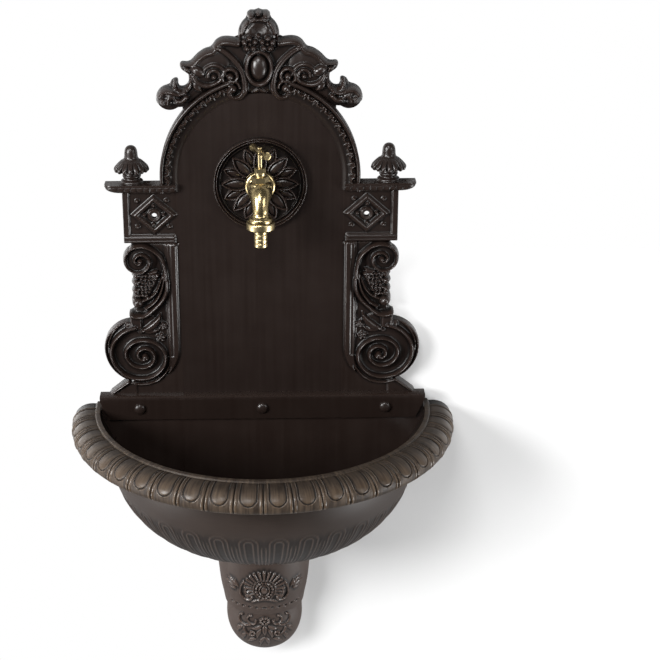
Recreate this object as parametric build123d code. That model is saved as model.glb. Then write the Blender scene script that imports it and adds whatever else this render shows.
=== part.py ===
from build123d import *
import os
from math import atan2, cos, pi, radians, sin

# Wall fountain: a cast back plate with an arched field, scrolled sides and a crest, a half-round basin
# bolted under it, a corbel below the basin, and a brass bib tap with a tee handle and a hose tail.
# Millimetres, +Z up, +X to the right. The wall is the plane Y = 0 and the fountain stands out along -Y.
# A depth is a distance out from the wall. The origin is midway between the two wall-screw holes.

# Back plate
screw_span = 244.0
screw_hole_r = 3.0
field_depth = 13.0
field_wall = 4.0
plate_margin = 6.0
panel_half = 100.7
arch_centre_z = 46.0
arch_radius = 114.0
arch_band = 16.0
arch_band_depth = 20.0
border_width = 9.0
border_depth = 18.0

# Blocks and cornices beside the arch
block_outer_x = 158.0
block_bottom_z = -33.5
block_edge = 7.0
bar_height = 8.0
lozenge_half_width = 23.5
lozenge_half_height = 21.5
lozenge_width = 4.0
lozenge_depth = 17.0
stud_r = 2.0
cornice_end_x = 178.0
cornice_top_z = 37.5
cornice_height = 9.5
cornice_depth = 21.0
cornice_fillet = 6.0

# Side scrolls, on the +X side
scroll_top_depth = 22.0
big_volute_r = 43.3
big_volute_z = -166.0
big_eye_drop = 9.0
big_crossings = (35.0, -26.7, 15.3, -13.7, 4.3)
big_band = 5.0
small_volute_x = 138.5
small_volute_z = -58.0
small_volute_r = 20.5
small_crossings = (-26.5, 20.0, -8.5, 8.5)
small_band = 3.5
scroll_ball_r = 7.8
scroll_edge_x = 150.0
step_edge_x = 155.5
step_top_z = -120.7
step_bottom_z = -140.0
grape_r = 13.0

# Foot of the plate
ledge_z = -226.0
ledge_thickness = 5.0
flange_fit = 2.5
flange_taper = 8.5
flange_bottom_z = -254.0
flange_front_depth = 25.0
flange_wall = 4.5
shoulder_top_x = 159.0
shoulder_top_z = -206.0
shoulder_inset = 9.5

# Crest, heights from the arch centre
crest_depth = 16.0
crest_head_r = 22.5
crest_head_height = 160.0
crest_head_depth = 27.0
topknot_r = 5.6
topknot_x = 6.6
topknot_height = 182.0
crest_ball_r = 15.2
crest_ball_x = 100.0
crest_ball_height = 88.5
crest_ball_depth = 26.0
oval_half_width = 14.6
oval_half_height = 20.2
oval_height = 125.0
oval_rim = 4.2
oval_rim_depth = 21.0
oval_dome_depth = 20.0
crest_band_width = 5.0
crest_band_depth = 22.0

# Finials on the cornices
finial_x = 146.5
finial_axis_depth = 7.0
finial_foot_r = 12.7
finial_neck_r = 9.3
finial_skirt_r = 20.0
finial_notch_r = 4.0
finial_lobes = 8
finial_bullet_r = 7.3
finial_height = 47.0
finial_stud_r = 2.5
finial_stud_length = 6.0

# Basin
rim_r = 231.0
rim_width = 36.0
egg_count = 22
egg_height = 2.0
egg_share = 0.5
rim_top_z = -240.0
rim_lip_width = 4.0
rim_drop = 24.0
rim_edge = 12.0
rim_wall = 7.0
basin_centre_depth = 14.0
basin_wall = 6.0
belly_inset = 11.0
belly_top_z = -284.0
belly_floor_r = 77.0
belly_floor_z = -399.0
belly_drop = 8.0
back_wall = 5.0
back_wall_top_z = -231.0

# Flange bolts
bolt_spread = 147.0
bolt_z = -239.5
bolt_r = 3.0
bolt_head_r = 6.75
bolt_head_height = 4.2
bolt_end_depth = 6.0
washer_r = 6.2
washer_thickness = 1.2
nut_across_flats = 10.0
nut_thickness = 5.0
bolt_clearance = 0.3

# Corbel under the basin
corbel_top_r = 57.0
corbel_shoulder_r = 56.5
corbel_shoulder_z = -445.0
corbel_swell = 2.6
corbel_step_r = 45.9
corbel_step_z = -515.0
corbel_step = 2.2
corbel_bulb_r = 41.0
corbel_bulb_z = -547.0
corbel_wall = 5.0
corbel_top_wall = 5.0

# Drain through the basin floor, which clamps the corbel
drain_depth = 35.0
drain_flange_r = 13.0
drain_flange_thickness = 2.5
drain_thread_r = 8.3
drain_bore_r = 6.0
drain_length = 34.0
drain_gasket_thickness = 2.0
drain_nut_across_flats = 22.0
drain_nut_thickness = 6.0
drain_slots = 3
drain_slot_width = 2.0
drain_clearance = 0.3

# Rosette behind the tap
tap_z = 37.0
rosette_r = 54.0
rosette_thickness = 3.5
rosette_ring_width = 3.0
rosette_ring_gap = 3.5
rosette_ring_rise = 5.0
rosette_petals = 8
petal_tip_r = 44.5
petal_width = 14.0
petal_rise = 4.5
petal_edge = 2.2
rosette_boss_r = 20.0
rosette_boss_rise = 5.0

# Tap body
inlet_r = 10.48
inlet_bore_r = 4.5
inlet_reach = 20.0
relief_groove = 1.5
relief_groove_drop = 0.6
inlet_clearance = 0.5
collar_r = 17.6
collar_thickness = 5.0
tap_neck_r = 10.0
bonnet_depth = 50.0
globe_r = 13.5
globe_depth = 54.0
globe_rise = 2.0
seat_rise = 7.0
seat_bore_r = 4.0
seat_thickness = 2.0
lower_chamber_r = 6.0
upper_chamber_r = 8.5
bonnet_seat_rise = 12.0
bonnet_boss_r = 11.5
spout_depth = 68.0
spout_r = 8.8
spout_bend_r = 16.0
spout_bore_r = 3.5
spout_bore_bend_r = 9.0
outlet_thread_r = 13.2
outlet_thread_length = 6.0
outlet_flare = 5.0
outlet_z = 6.2

# Bonnet, gland and spindle
hex_across_flats = 17.0
hex_height = 7.0
bonnet_neck_r = 5.8
bonnet_neck_height = 4.5
bonnet_spigot = 3.0
thread_clearance = 0.1
gland_across_flats = 11.0
gland_height = 5.0
packing_height = 1.9
spindle_thread_r = 3.9
spindle_thread_length = 5.0
spindle_stem_r = 2.6
spindle_height = 35.0
running_clearance = 0.05
closed_gap = 0.2
handle_reach = 21.5
handle_arm_r = 3.0
handle_end_r = 4.5
handle_hub_r = 5.0
handle_turn = 112.0

# Jumper that closes the seat
jumper_r = 6.5
jumper_thickness = 2.0
jumper_washer_thickness = 2.5
jumper_stem_r = 1.6
jumper_stem_length = 4.5
jumper_clearance = 0.3
valve_lift = 4.375

# Hose tail and its union nut
union_nut_r = 17.3
union_lip = 2.2
union_bore_r = 8.7
tail_r = 7.2
tail_barb_r = 8.2
tail_barbs = 4
tail_barb_pitch = 5.25
tail_bore_r = 5.2
tail_flange_thickness = 2.0
tail_gasket_thickness = 2.0

# Fixing of the tap behind the plate
locknut_across_flats = 27.0
locknut_thickness = 5.0
inlet_washer_r = 14.0
inlet_washer_thickness = 1.5


# Places worked out from the sizes above
plate_pocket_depth = field_depth - field_wall
cornice_bottom_z = cornice_top_z - cornice_height
screw_x = screw_span / 2
big_volute_x = panel_half + big_volute_r
flange_back_depth = flange_front_depth - flange_wall
back_wall_rear_depth = flange_back_depth - back_wall
rosette_face_depth = field_depth + rosette_thickness
collar_back_depth = rosette_face_depth + rosette_boss_rise
seat_z = tap_z + seat_rise
bonnet_seat_z = tap_z + bonnet_seat_rise
bonnet_top_z = bonnet_seat_z + hex_height + bonnet_neck_height
gland_top_z = bonnet_top_z + gland_height
jumper_bottom_z = seat_z + closed_gap
jumper_top_z = jumper_bottom_z + jumper_washer_thickness + jumper_thickness
spindle_bottom_z = jumper_top_z + closed_gap
handle_z = bonnet_seat_z + spindle_height
union_bottom_z = outlet_z - tail_gasket_thickness - tail_flange_thickness - union_lip
drain_floor_z = belly_floor_z + basin_wall
rim_lip_r = rim_r - rim_width
rim_face_r = rim_r - egg_height
belly_top_r = rim_lip_r - belly_inset
back_wall_tab_half = belly_top_r - basin_wall
flange_half = rim_lip_r - flange_fit
flange_foot_half = flange_half - flange_taper
shoulder_foot_x = flange_half - shoulder_inset
corbel_top_z = belly_floor_z
globe_z = tap_z + globe_rise


def facing(depth):
    """Sketch plane parallel to the wall at a depth; sketch x runs along X and sketch y along Z."""
    return Plane.XZ.offset(depth)


def relief(face, back, front, draft=0):
    """Outline drawn parallel to the wall, carried from one depth to another with a casting's draft."""
    return extrude(facing(back) * face, front - back, taper=draft)


def outward(x, z):
    """Sketch plane for turning about a line square to the wall: sketch x is radius, sketch y is depth."""
    return Plane(origin=(x, 0, z), x_dir=(1, 0, 0), z_dir=(0, 0, -1))


def turned_outward(face, x, z, angle=360):
    """Solid of revolution about the line square to the wall through (x, z)."""
    return revolve(outward(x, z) * face, Axis((x, 0, z), (0, -1, 0)), angle)


def turned_upright(face, depth):
    """Solid of revolution about the upright line at a depth; the profile is radius against Z."""
    place = Plane(origin=(0, -depth, 0), x_dir=(1, 0, 0), z_dir=(0, -1, 0))
    return revolve(place * face, Axis((0, -depth, 0), (0, 0, 1)), 360)


def polygon(*points):
    """Face inside straight lines through the points."""
    return make_face(Polyline(*points, close=True))


def rectangle(x0, z0, x1, z1):
    """Face between two corners."""
    return Pos((x0 + x1) / 2, (z0 + z1) / 2) * Rectangle(abs(x1 - x0), abs(z1 - z0))


def disc(x, z, r):
    """Round face about a centre."""
    return Pos(x, z) * Circle(r)


def rod(x, z, r, back, front):
    """Round bar square to the wall between two depths."""
    return relief(disc(x, z, r), back, front)


def post(depth, r, z0, z1, x=0):
    """Upright round bar between two heights."""
    return Pos(x, -depth, z0) * extrude(Circle(r), z1 - z0)


def hexagon_post(depth, across_flats, z0, z1):
    """Upright hexagonal bar between two heights."""
    return Pos(0, -depth, z0) * extrude(RegularPolygon(across_flats / 2, 6, major_radius=False), z1 - z0)


def cap_edge(r, base, top):
    """Half section of a spherical cap that stands on a circle of radius r."""
    rise = top - base
    sphere_r = (r * r + rise * rise) / (2 * rise)
    half = atan2(rise, r)
    return ThreePointArc((r, base), (sphere_r * sin(half), top - sphere_r * (1 - cos(half))), (0, top))


def dome(x, z, r, back, top):
    """Button on the plate: a spherical cap over its full radius, on a plain shank where it is taller."""
    base = max(back, top - r)
    edges = [Line((0, back), (r, back)), cap_edge(r, base, top), Line((0, top), (0, back))]
    if base > back:
        edges.append(Line((r, back), (r, base)))
    return turned_outward(make_face(edges), x, z)


def stud(x, z, r, back, top):
    """Small blunt cone on the plate."""
    return turned_outward(polygon((0, back), (r, back), (r * 0.45, top), (0, top)), x, z)


def both_sides(*shapes):
    """The shapes and their mirror images across the middle plane X = 0."""
    return [*shapes, *[mirror(shape, Plane.YZ) for shape in shapes]]


def joined(shapes):
    """One body from shapes that overlap or touch, fused one after another."""
    whole = shapes[0]
    for shape in shapes[1:]:
        whole += shape
    return whole


def half_circle(x0, x1, z, rising):
    """Half circle that stands on (rising) or hangs from the level line between two points."""
    r = abs(x1 - x0) / 2
    crown = z + r if rising else z - r
    return ThreePointArc((x0, z), ((x0 + x1) / 2, crown), (x1, z))


def quarter(x, z, r):
    """Quarter circle about a centre, from its right side to its top."""
    return ThreePointArc((x + r, z), (x + r * cos(pi / 4), z + r * sin(pi / 4)), (x, z + r))


def scroll_band(eye_x, eye_z, crossings, width, rising):
    """Flat spiral band of half circles between the points where it crosses the level line through its eye.

    The band's outer edge runs through the crossings, its inner edge lies a width nearer the eye, and the
    width shrinks with the coil.
    """
    coil = abs(crossings[0])
    outer = [eye_x + c for c in crossings]
    inner = [eye_x + c - width * (0.45 + 0.55 * abs(c) / coil) * (1 if c > 0 else -1) for c in crossings]
    edges = []
    up = rising
    for k in range(len(crossings) - 1):
        edges.append(half_circle(outer[k], outer[k + 1], eye_z, up))
        edges.append(half_circle(inner[k], inner[k + 1], eye_z, up))
        up = not up
    edges.append(Line((outer[0], eye_z), (inner[0], eye_z)))
    edges.append(Line((outer[-1], eye_z), (inner[-1], eye_z)))
    return make_face(edges)


def volute_back():
    """Outline of the big scroll: a large half circle below and a smaller one above it."""
    outer_x = big_volute_x + big_volute_r
    upper_x = outer_x - 2 * (big_volute_r - plate_margin - 2)
    lower = make_face([half_circle(panel_half, outer_x, big_volute_z, False),
                       Line((outer_x, big_volute_z), (panel_half, big_volute_z))])
    upper = make_face([half_circle(upper_x, outer_x, big_volute_z, True),
                       Line((outer_x, big_volute_z), (upper_x, big_volute_z))])
    return lower + upper


def scroll_back():
    """Outline behind one side scroll, from the small volute down to the big one."""
    neck = rectangle(panel_half, step_top_z, scroll_edge_x, small_volute_z)
    step = rectangle(panel_half, step_bottom_z - big_volute_r / 2, step_edge_x, step_top_z)
    ball = disc(scroll_edge_x - scroll_ball_r + 2, step_top_z + 2 * scroll_ball_r, scroll_ball_r)
    small = disc(small_volute_x, small_volute_z, small_volute_r)
    top = rectangle(panel_half, small_volute_z, small_volute_x, block_bottom_z)
    return neck + step + ball + small + top + volute_back()


def crest_half():
    """Outline of the crest on the +X side, with the beak and its hooked ball at the end of the shoulder."""
    z = arch_centre_z
    shoulder = make_face([
        Line((0, z + 60), (0, z + 156)),
        Line((0, z + 156), (33, z + 156)),
        ThreePointArc((33, z + 156), (44, z + 153), (52, z + 145)),
        ThreePointArc((52, z + 145), (66, z + 138), (78, z + 128)),
        Line((78, z + 128), (87, z + 128)),
        ThreePointArc((87, z + 128), (84, z + 119), (75.5, z + 118)),
        ThreePointArc((75.5, z + 118), (76, z + 107), (84, z + 100)),
        Line((84, z + 100), (94, z + 98)),
        Line((94, z + 98), (94, z + 60)),
        Line((94, z + 60), (0, z + 60))])
    ball = disc(crest_ball_x, z + crest_ball_height, crest_ball_r)
    hook = disc(crest_ball_x - 6, z + crest_ball_height + crest_ball_r, 5.5)
    return shoulder + ball + hook


def plate_outline():
    """Outline of the plate without its crest: arched tablet, blocks, scrolls and the foot."""
    tablet = rectangle(-arch_radius, ledge_z, arch_radius, arch_centre_z)
    tablet += disc(0, arch_centre_z, arch_radius)
    block = rectangle(0, block_bottom_z, block_outer_x, cornice_bottom_z)
    foot = polygon((0, ledge_z), (shoulder_foot_x, ledge_z), (shoulder_top_x, shoulder_top_z),
                   (0, shoulder_top_z))
    right = scroll_back() + block + foot
    return tablet + right + mirror(right, Plane.YZ)


def arch_moulding():
    """Stepped band round the arch with straight legs down to the foot of the cornices."""
    inner_r = arch_radius - arch_band
    profile = polygon(
        (inner_r, field_depth - 1), (inner_r, arch_band_depth - 4), (inner_r + 3, arch_band_depth - 3),
        (inner_r + 4, arch_band_depth - 5), (arch_radius - 5, arch_band_depth - 2),
        (arch_radius - 4, arch_band_depth), (arch_radius, arch_band_depth), (arch_radius, field_depth - 1))
    ring = turned_outward(profile, 0, arch_centre_z, 180)
    leg = extrude(outward(0, arch_centre_z) * profile, arch_centre_z - cornice_bottom_z)
    return [ring, *both_sides(leg)]


def cornice():
    """Moulded shelf beside the arch: flat top, rounded underside, and the same rounding at its outer end."""
    inner_x = arch_radius - arch_band
    section = make_face([
        Line((0, cornice_top_z), (-cornice_depth, cornice_top_z)),
        Line((-cornice_depth, cornice_top_z), (-cornice_depth, cornice_bottom_z + cornice_fillet)),
        ThreePointArc((-cornice_depth, cornice_bottom_z + cornice_fillet),
                      (-cornice_depth + cornice_fillet * 0.4, cornice_bottom_z + cornice_fillet * 0.4),
                      (-cornice_depth + cornice_fillet, cornice_bottom_z)),
        Line((-cornice_depth + cornice_fillet, cornice_bottom_z), (0, cornice_bottom_z)),
        Line((0, cornice_bottom_z), (0, cornice_top_z))])
    shelf = extrude(Plane.YZ.offset(inner_x) * section, cornice_end_x - inner_x)
    front = make_face([
        Line((inner_x, cornice_top_z), (cornice_end_x, cornice_top_z)),
        Line((cornice_end_x, cornice_top_z), (cornice_end_x, cornice_bottom_z + cornice_fillet)),
        ThreePointArc((cornice_end_x, cornice_bottom_z + cornice_fillet),
                      (cornice_end_x - cornice_fillet * 0.4, cornice_bottom_z + cornice_fillet * 0.4),
                      (cornice_end_x - cornice_fillet, cornice_bottom_z)),
        Line((cornice_end_x - cornice_fillet, cornice_bottom_z), (inner_x, cornice_bottom_z)),
        Line((inner_x, cornice_bottom_z), (inner_x, cornice_top_z))])
    return shelf & relief(front, 0, cornice_depth)


def block_ornament():
    """Raised border of a block, its lozenge frame, the ring round the screw hole and the eight studs."""
    border = rectangle(block_outer_x - block_edge, block_bottom_z, block_outer_x, cornice_bottom_z)
    bar = rectangle(panel_half, block_bottom_z, block_outer_x, block_bottom_z + bar_height)
    w, h, t = lozenge_half_width, lozenge_half_height, lozenge_width
    frame = polygon((w, 0), (0, h), (-w, 0), (0, -h))
    frame -= polygon((w - t, 0), (0, h - t), (t - w, 0), (0, t - h))
    parts = [relief(border + bar, field_depth - 1, border_depth, 15),
             relief(Pos(screw_x, 0) * frame, field_depth - 1, lozenge_depth, 15),
             rod(screw_x, 0, screw_hole_r + 2.5, field_depth - 1, field_depth + 2)]
    for k in range(4):
        for turn, reach, r in ((45, 0.85, stud_r), (0, 0.5, 0.7 * stud_r)):
            a = radians(turn + 90 * k)
            x = screw_x + reach * w * cos(a)
            parts.append(stud(x, reach * h * sin(a), r, field_depth - 1, field_depth + r))
    return parts


def scroll_ornament():
    """Relief of one side scroll: border strip, volutes with their eyes, crescent, ball and grape cluster."""
    strip = rectangle(panel_half, big_volute_z, panel_half + border_width, block_bottom_z + bar_height)
    volute_end = big_volute_x + big_volute_r
    ring = make_face([
        half_circle(panel_half, volute_end, big_volute_z, False),
        Line((volute_end, big_volute_z), (volute_end - 4, big_volute_z)),
        half_circle(volute_end - 4, panel_half + 4, big_volute_z, False),
        Line((panel_half + 4, big_volute_z), (panel_half, big_volute_z))])
    eye_z = big_volute_z - big_eye_drop
    eye_x = big_volute_x - 3.5
    outer = big_crossings[0]
    big = scroll_band(eye_x, eye_z, big_crossings, big_band, False)
    lead_in = make_face([
        quarter(eye_x, eye_z, outer),
        Line((eye_x, eye_z + outer), (eye_x, eye_z + outer - big_band)),
        quarter(eye_x, eye_z, outer - big_band),
        Line((eye_x + outer - big_band, eye_z), (eye_x + outer, eye_z))])
    small = scroll_band(small_volute_x, small_volute_z, small_crossings, small_band, True)
    start_x = small_volute_x + small_crossings[0]
    crescent = make_face([
        ThreePointArc((start_x, small_volute_z), (109, -95), (140, -122)),
        Line((140, -122), (143, -112)),
        ThreePointArc((143, -112), (121.5, -91), (start_x + small_band, small_volute_z)),
        Line((start_x + small_band, small_volute_z), (start_x, small_volute_z))])
    base = field_depth
    ball_x = scroll_edge_x - scroll_ball_r + 2
    ball_z = step_top_z + 2 * scroll_ball_r
    return [relief(strip, base, border_depth, 10), relief(ring, base, border_depth),
            relief(big, base, scroll_top_depth), relief(lead_in, base, scroll_top_depth),
            relief(small, base, scroll_top_depth), relief(crescent, base, scroll_top_depth),
            stud(eye_x, eye_z, 5.5, base, scroll_top_depth + 1),
            stud(small_volute_x, small_volute_z, 4.5, base, scroll_top_depth + 1),
            dome(ball_x, ball_z, scroll_ball_r, base - 2, scroll_top_depth),
            dome(scroll_edge_x - grape_r - 2, (small_volute_z + step_top_z) / 2 + 3, grape_r, base - 2,
                 scroll_top_depth)]


def crest_ornament():
    """Relief of the crest: head with its knot, oval boss in a rim, curved bands, eyes and end balls."""
    z = arch_centre_z
    oval = Pos(0, z + oval_height) * Ellipse(oval_half_width, oval_half_height)
    well = Pos(0, z + oval_height) * Ellipse(oval_half_width - oval_rim, oval_half_height - oval_rim)
    core = Pos(0, z + oval_height) * Ellipse(oval_half_width / 2, oval_half_height / 2)
    band = make_face([
        ThreePointArc((47, z + 148), (24, z + 131), (14, z + 107)),
        ThreePointArc((14, z + 107), (17, z + 94), (27, z + 90)),
        Line((27, z + 90), (27, z + 90 + crest_band_width)),
        ThreePointArc((27, z + 90 + crest_band_width), (21, z + 98), (14 + crest_band_width, z + 107)),
        ThreePointArc((14 + crest_band_width, z + 107), (28, z + 127), (47 + 2, z + 148 - crest_band_width)),
        Line((49, z + 148 - crest_band_width), (47, z + 148))])
    base = crest_depth - 2
    middle = [
        dome(0, z + crest_head_height, crest_head_r, base, crest_head_depth),
        stud(0, z + topknot_height + 3, 4.2, base, crest_depth + 6),
        relief(oval - well, base, oval_rim_depth),
        relief(well, base, (crest_depth + oval_dome_depth) / 2),
        relief(core, base, oval_dome_depth)]
    side = [
        relief(band, base, crest_band_depth),
        stud(topknot_x, z + topknot_height, topknot_r, 0, crest_depth + 6),
        dome(11.5, z + 151.5, 10.0, base, crest_head_depth + 1),
        dome(crest_ball_x, z + crest_ball_height, crest_ball_r - 0.5, base, crest_ball_depth),
        dome(58, z + 122, 17.0, base, crest_depth + 5),
        stud(52, z + 117, 7.5, base, crest_depth + 9),
        stud(31, z + 115, 7.0, base, crest_depth + 5)]
    return [*middle, *both_sides(*side)]


def plate_foot():
    """Ledge across the foot of the plate and the flange that hangs from its front edge."""
    ledge = polygon((-flange_half, ledge_z), (flange_half, ledge_z), (flange_half, ledge_z - ledge_thickness),
                    (-flange_half, ledge_z - ledge_thickness))
    front = polygon((-flange_half, ledge_z), (flange_half, ledge_z), (flange_half, ledge_z - ledge_thickness),
                    (flange_foot_half, flange_bottom_z), (-flange_foot_half, flange_bottom_z),
                    (-flange_half, ledge_z - ledge_thickness))
    return [relief(ledge, plate_pocket_depth, flange_front_depth),
            relief(front, flange_back_depth, flange_front_depth)]


def plate_pockets():
    """Hollows in the back of the casting: behind the field, behind each block and behind each big scroll."""
    half = panel_half - plate_margin
    low = ledge_z + plate_margin
    upper = rectangle(-arch_radius, arch_centre_z, arch_radius, arch_centre_z + arch_radius)
    field = rectangle(-half, low, half, arch_centre_z)
    field += disc(0, arch_centre_z, arch_radius - plate_margin) & upper
    block = rectangle(panel_half + plate_margin, block_bottom_z + plate_margin, block_outer_x - plate_margin,
                      cornice_bottom_z - plate_margin / 2)
    block -= disc(screw_x, 0, screw_hole_r + plate_margin)
    volute = disc(big_volute_x, big_volute_z - 4, big_volute_r - 2 * plate_margin)
    hollows = [relief(block, 0, plate_pocket_depth), relief(volute, 0, plate_pocket_depth)]
    return [relief(field, 0, plate_pocket_depth), *both_sides(*hollows)]


def back_plate():
    """The cast plate with all its relief, its pockets, and the holes for screws, bolts, tap and finials."""
    crest_outline = crest_half() + disc(0, arch_centre_z + crest_head_height, crest_head_r)
    crest_outline += mirror(crest_half(), Plane.YZ)
    crest_outline -= disc(0, arch_centre_z, arch_radius - arch_band / 2)
    body = joined([relief(plate_outline(), 0, field_depth), relief(crest_outline, 0, crest_depth),
                   *arch_moulding(), *both_sides(cornice(), *block_ornament(), *scroll_ornament()),
                   *crest_ornament(), *plate_foot()])
    for pocket in plate_pockets():
        body -= pocket
    holes = [rod(0, tap_z, inlet_r + inlet_clearance, -1, arch_band_depth)]
    holes += both_sides(rod(screw_x, 0, screw_hole_r, -1, arch_band_depth))
    holes += [rod(x, bolt_z, bolt_r + bolt_clearance, flange_back_depth - 1, flange_front_depth + 1)
              for x in bolt_places()]
    stud_hole = post(finial_axis_depth, finial_stud_r + thread_clearance, cornice_top_z - finial_stud_length,
                     cornice_top_z + 1, finial_x)
    for hole in [*holes, *both_sides(stud_hole)]:
        body -= hole
    return body


def bolt_places():
    """Positions along X of the three flange bolts."""
    return (-bolt_spread, 0.0, bolt_spread)


def finial(side):
    """Turned finial with a lobed skirt and a stud below, cut flat where it stands against the wall."""
    z = cornice_top_z
    top = z + finial_height
    hip = finial_skirt_r - finial_notch_r
    profile = make_face([
        Polyline((0, z), (finial_foot_r, z), (finial_foot_r, z + 2), (finial_neck_r, z + 7),
                 (finial_neck_r + 0.8, z + 8.5), (finial_neck_r + 0.8, z + 11), (finial_neck_r, z + 12.5),
                 (finial_neck_r, z + 16), (hip, z + 19), (hip, z + 25.5), (finial_bullet_r, z + 31.5),
                 (finial_bullet_r - 1, top - 6)),
        cap_edge(finial_bullet_r - 1, top - 6, top),
        Line((0, top), (0, z))])
    skirt = Circle(finial_skirt_r)
    notch_reach = finial_skirt_r + finial_notch_r * 0.35
    for k in range(finial_lobes):
        a = 2 * pi * (k + 0.5) / finial_lobes
        skirt -= Pos(notch_reach * cos(a), notch_reach * sin(a)) * Circle(finial_notch_r)
    body = turned_upright(profile, 0) + Pos(0, 0, z + 20) * extrude(skirt, 4)
    body += post(0, finial_stud_r, z - finial_stud_length + closed_gap, z)
    wall_side = Pos(0, finial_axis_depth + finial_height, z + finial_height / 2) * Box(
        4 * finial_height, 2 * finial_height, 3 * finial_height)
    return Pos(side * finial_x, -finial_axis_depth, 0) * (body - wall_side)


def belly_arc(inset):
    """Curve of the basin's belly from its floor up to its top, drawn in by an inset square to the curve."""
    slant = cos(pi / 4)
    middle = (belly_floor_r + (belly_top_r - belly_floor_r - inset) * slant,
              belly_top_z - belly_drop + (belly_floor_z - belly_top_z + belly_drop + inset) * slant)
    return ThreePointArc((belly_floor_r, belly_floor_z + inset), middle, (belly_top_r - inset, belly_top_z))


def basin_profile():
    """Half section of the basin shell, radius against Z: rolled rim hollow underneath, belly, flat floor."""
    rim_bottom = rim_top_z - rim_drop - rim_edge
    rim_root = (rim_lip_r + 1, rim_top_z - 2 * rim_wall)
    rim_inside = (rim_face_r - rim_wall, rim_bottom + rim_wall)
    rim_foot = (rim_face_r - rim_wall / 2, rim_bottom + rim_wall / 2)
    rim_brow = (rim_face_r - rim_wall, rim_top_z - rim_drop / 2)
    lip_out = (rim_lip_r + rim_lip_width, rim_top_z - 1)
    return make_face([
        Polyline((0, drain_floor_z), (0, belly_floor_z), (belly_floor_r, belly_floor_z)),
        belly_arc(0),
        Line((belly_top_r, belly_top_z), rim_root),
        ThreePointArc(rim_root, (rim_face_r - 2.4 * rim_wall, rim_root[1] - 2), rim_inside),
        Polyline(rim_inside, (rim_inside[0], rim_bottom), rim_foot),
        ThreePointArc(rim_foot, (rim_face_r, rim_top_z - rim_drop), rim_brow),
        ThreePointArc(rim_brow, (rim_face_r - 2 * rim_wall, rim_top_z - rim_wall / 2), lip_out),
        Polyline(lip_out, (lip_out[0], rim_top_z), (rim_lip_r, rim_top_z),
                 (belly_top_r - basin_wall, belly_top_z)),
        belly_arc(basin_wall),
        Line((belly_floor_r, drain_floor_z), (0, drain_floor_z))])


def egg_profile():
    """Half section of one egg of the rim, radius against Z: it follows the rim a little proud of it."""
    sink = rim_wall / 2
    foot = (rim_r - sink, rim_top_z - rim_drop - rim_edge / 2)
    brow = (rim_r - rim_wall - egg_height / 3, rim_top_z - rim_drop / 2 + egg_height * 0.7)
    start = (rim_lip_r + 2 * rim_lip_width, rim_top_z - egg_height / 4)
    return make_face([
        ThreePointArc(foot, (rim_r, rim_top_z - rim_drop), brow),
        ThreePointArc(brow, (rim_face_r - 2 * rim_wall, rim_top_z - rim_wall / 2 + egg_height), start),
        Polyline(start, (start[0], rim_top_z - sink - 1), (rim_face_r - 2 * rim_wall, rim_top_z - rim_wall),
                 (brow[0] - sink, brow[1] - sink), (foot[0] - sink, rim_top_z - rim_drop), foot)])


def basin_bowl():
    """Half-round basin: the section turned through a half circle, carried straight back to the wall, with its
    own upright back wall, the eggs of the rim, bolt holes and the drain hole."""
    section = Plane(origin=(0, -basin_centre_depth, 0), x_dir=(1, 0, 0), z_dir=(0, -1, 0)) * basin_profile()
    bowl = revolve(section, Axis((0, -basin_centre_depth, 0), (0, 0, -1)), 180)
    inset = basin_wall / 3
    wall = make_face([
        Polyline((0, back_wall_top_z), (back_wall_tab_half, back_wall_top_z), (back_wall_tab_half, rim_top_z),
                 (rim_lip_r - 1, rim_top_z), (belly_top_r - inset, belly_top_z)),
        belly_arc(inset),
        Polyline((belly_floor_r, belly_floor_z + inset), (0, belly_floor_z + inset), (0, back_wall_top_z))])
    back = extrude(section, -basin_centre_depth)
    bowl = joined([bowl, *both_sides(back, relief(wall, back_wall_rear_depth, flange_back_depth))])
    pitch = 180 / egg_count
    egg = revolve(Plane(origin=(0, 0, 0), x_dir=(1, 0, 0), z_dir=(0, -1, 0)) * egg_profile(),
                  Axis((0, 0, 0), (0, 0, -1)), egg_share * pitch)
    for k in range(egg_count):
        bowl += Pos(0, -basin_centre_depth, 0) * Rot(0, 0, -(k + (1 - egg_share) / 2) * pitch) * egg
    for x in bolt_places():
        bowl -= rod(x, bolt_z, bolt_r + bolt_clearance, back_wall_rear_depth - 1, flange_back_depth + 1)
    return bowl - post(drain_depth, drain_thread_r + drain_clearance, belly_floor_z - 1, drain_floor_z + 1)


def corbel_profile(inset, top):
    """Half section of the corbel, radius against Z, drawn in by an inset: full side, step, round bulb."""
    shoulder = (corbel_shoulder_r - inset, corbel_shoulder_z)
    step = (corbel_step_r - inset, corbel_step_z)
    under = (corbel_step_r - corbel_step - inset, corbel_step_z - corbel_step)
    side = ((shoulder[0] + step[0]) / 2 + corbel_swell, (shoulder[1] + step[1]) / 2)
    bulb_r = corbel_bulb_r - inset
    bulb = (bulb_r, corbel_bulb_z)
    low = (bulb_r * cos(pi / 4), corbel_bulb_z - bulb_r * sin(pi / 4))
    return make_face([
        Line((0, top), (corbel_top_r - inset, top)),
        Line((corbel_top_r - inset, top), shoulder),
        ThreePointArc(shoulder, side, step),
        Polyline(step, under, bulb),
        ThreePointArc(bulb, low, (0, corbel_bulb_z - bulb_r)),
        Line((0, corbel_bulb_z - bulb_r), (0, top))])


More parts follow.
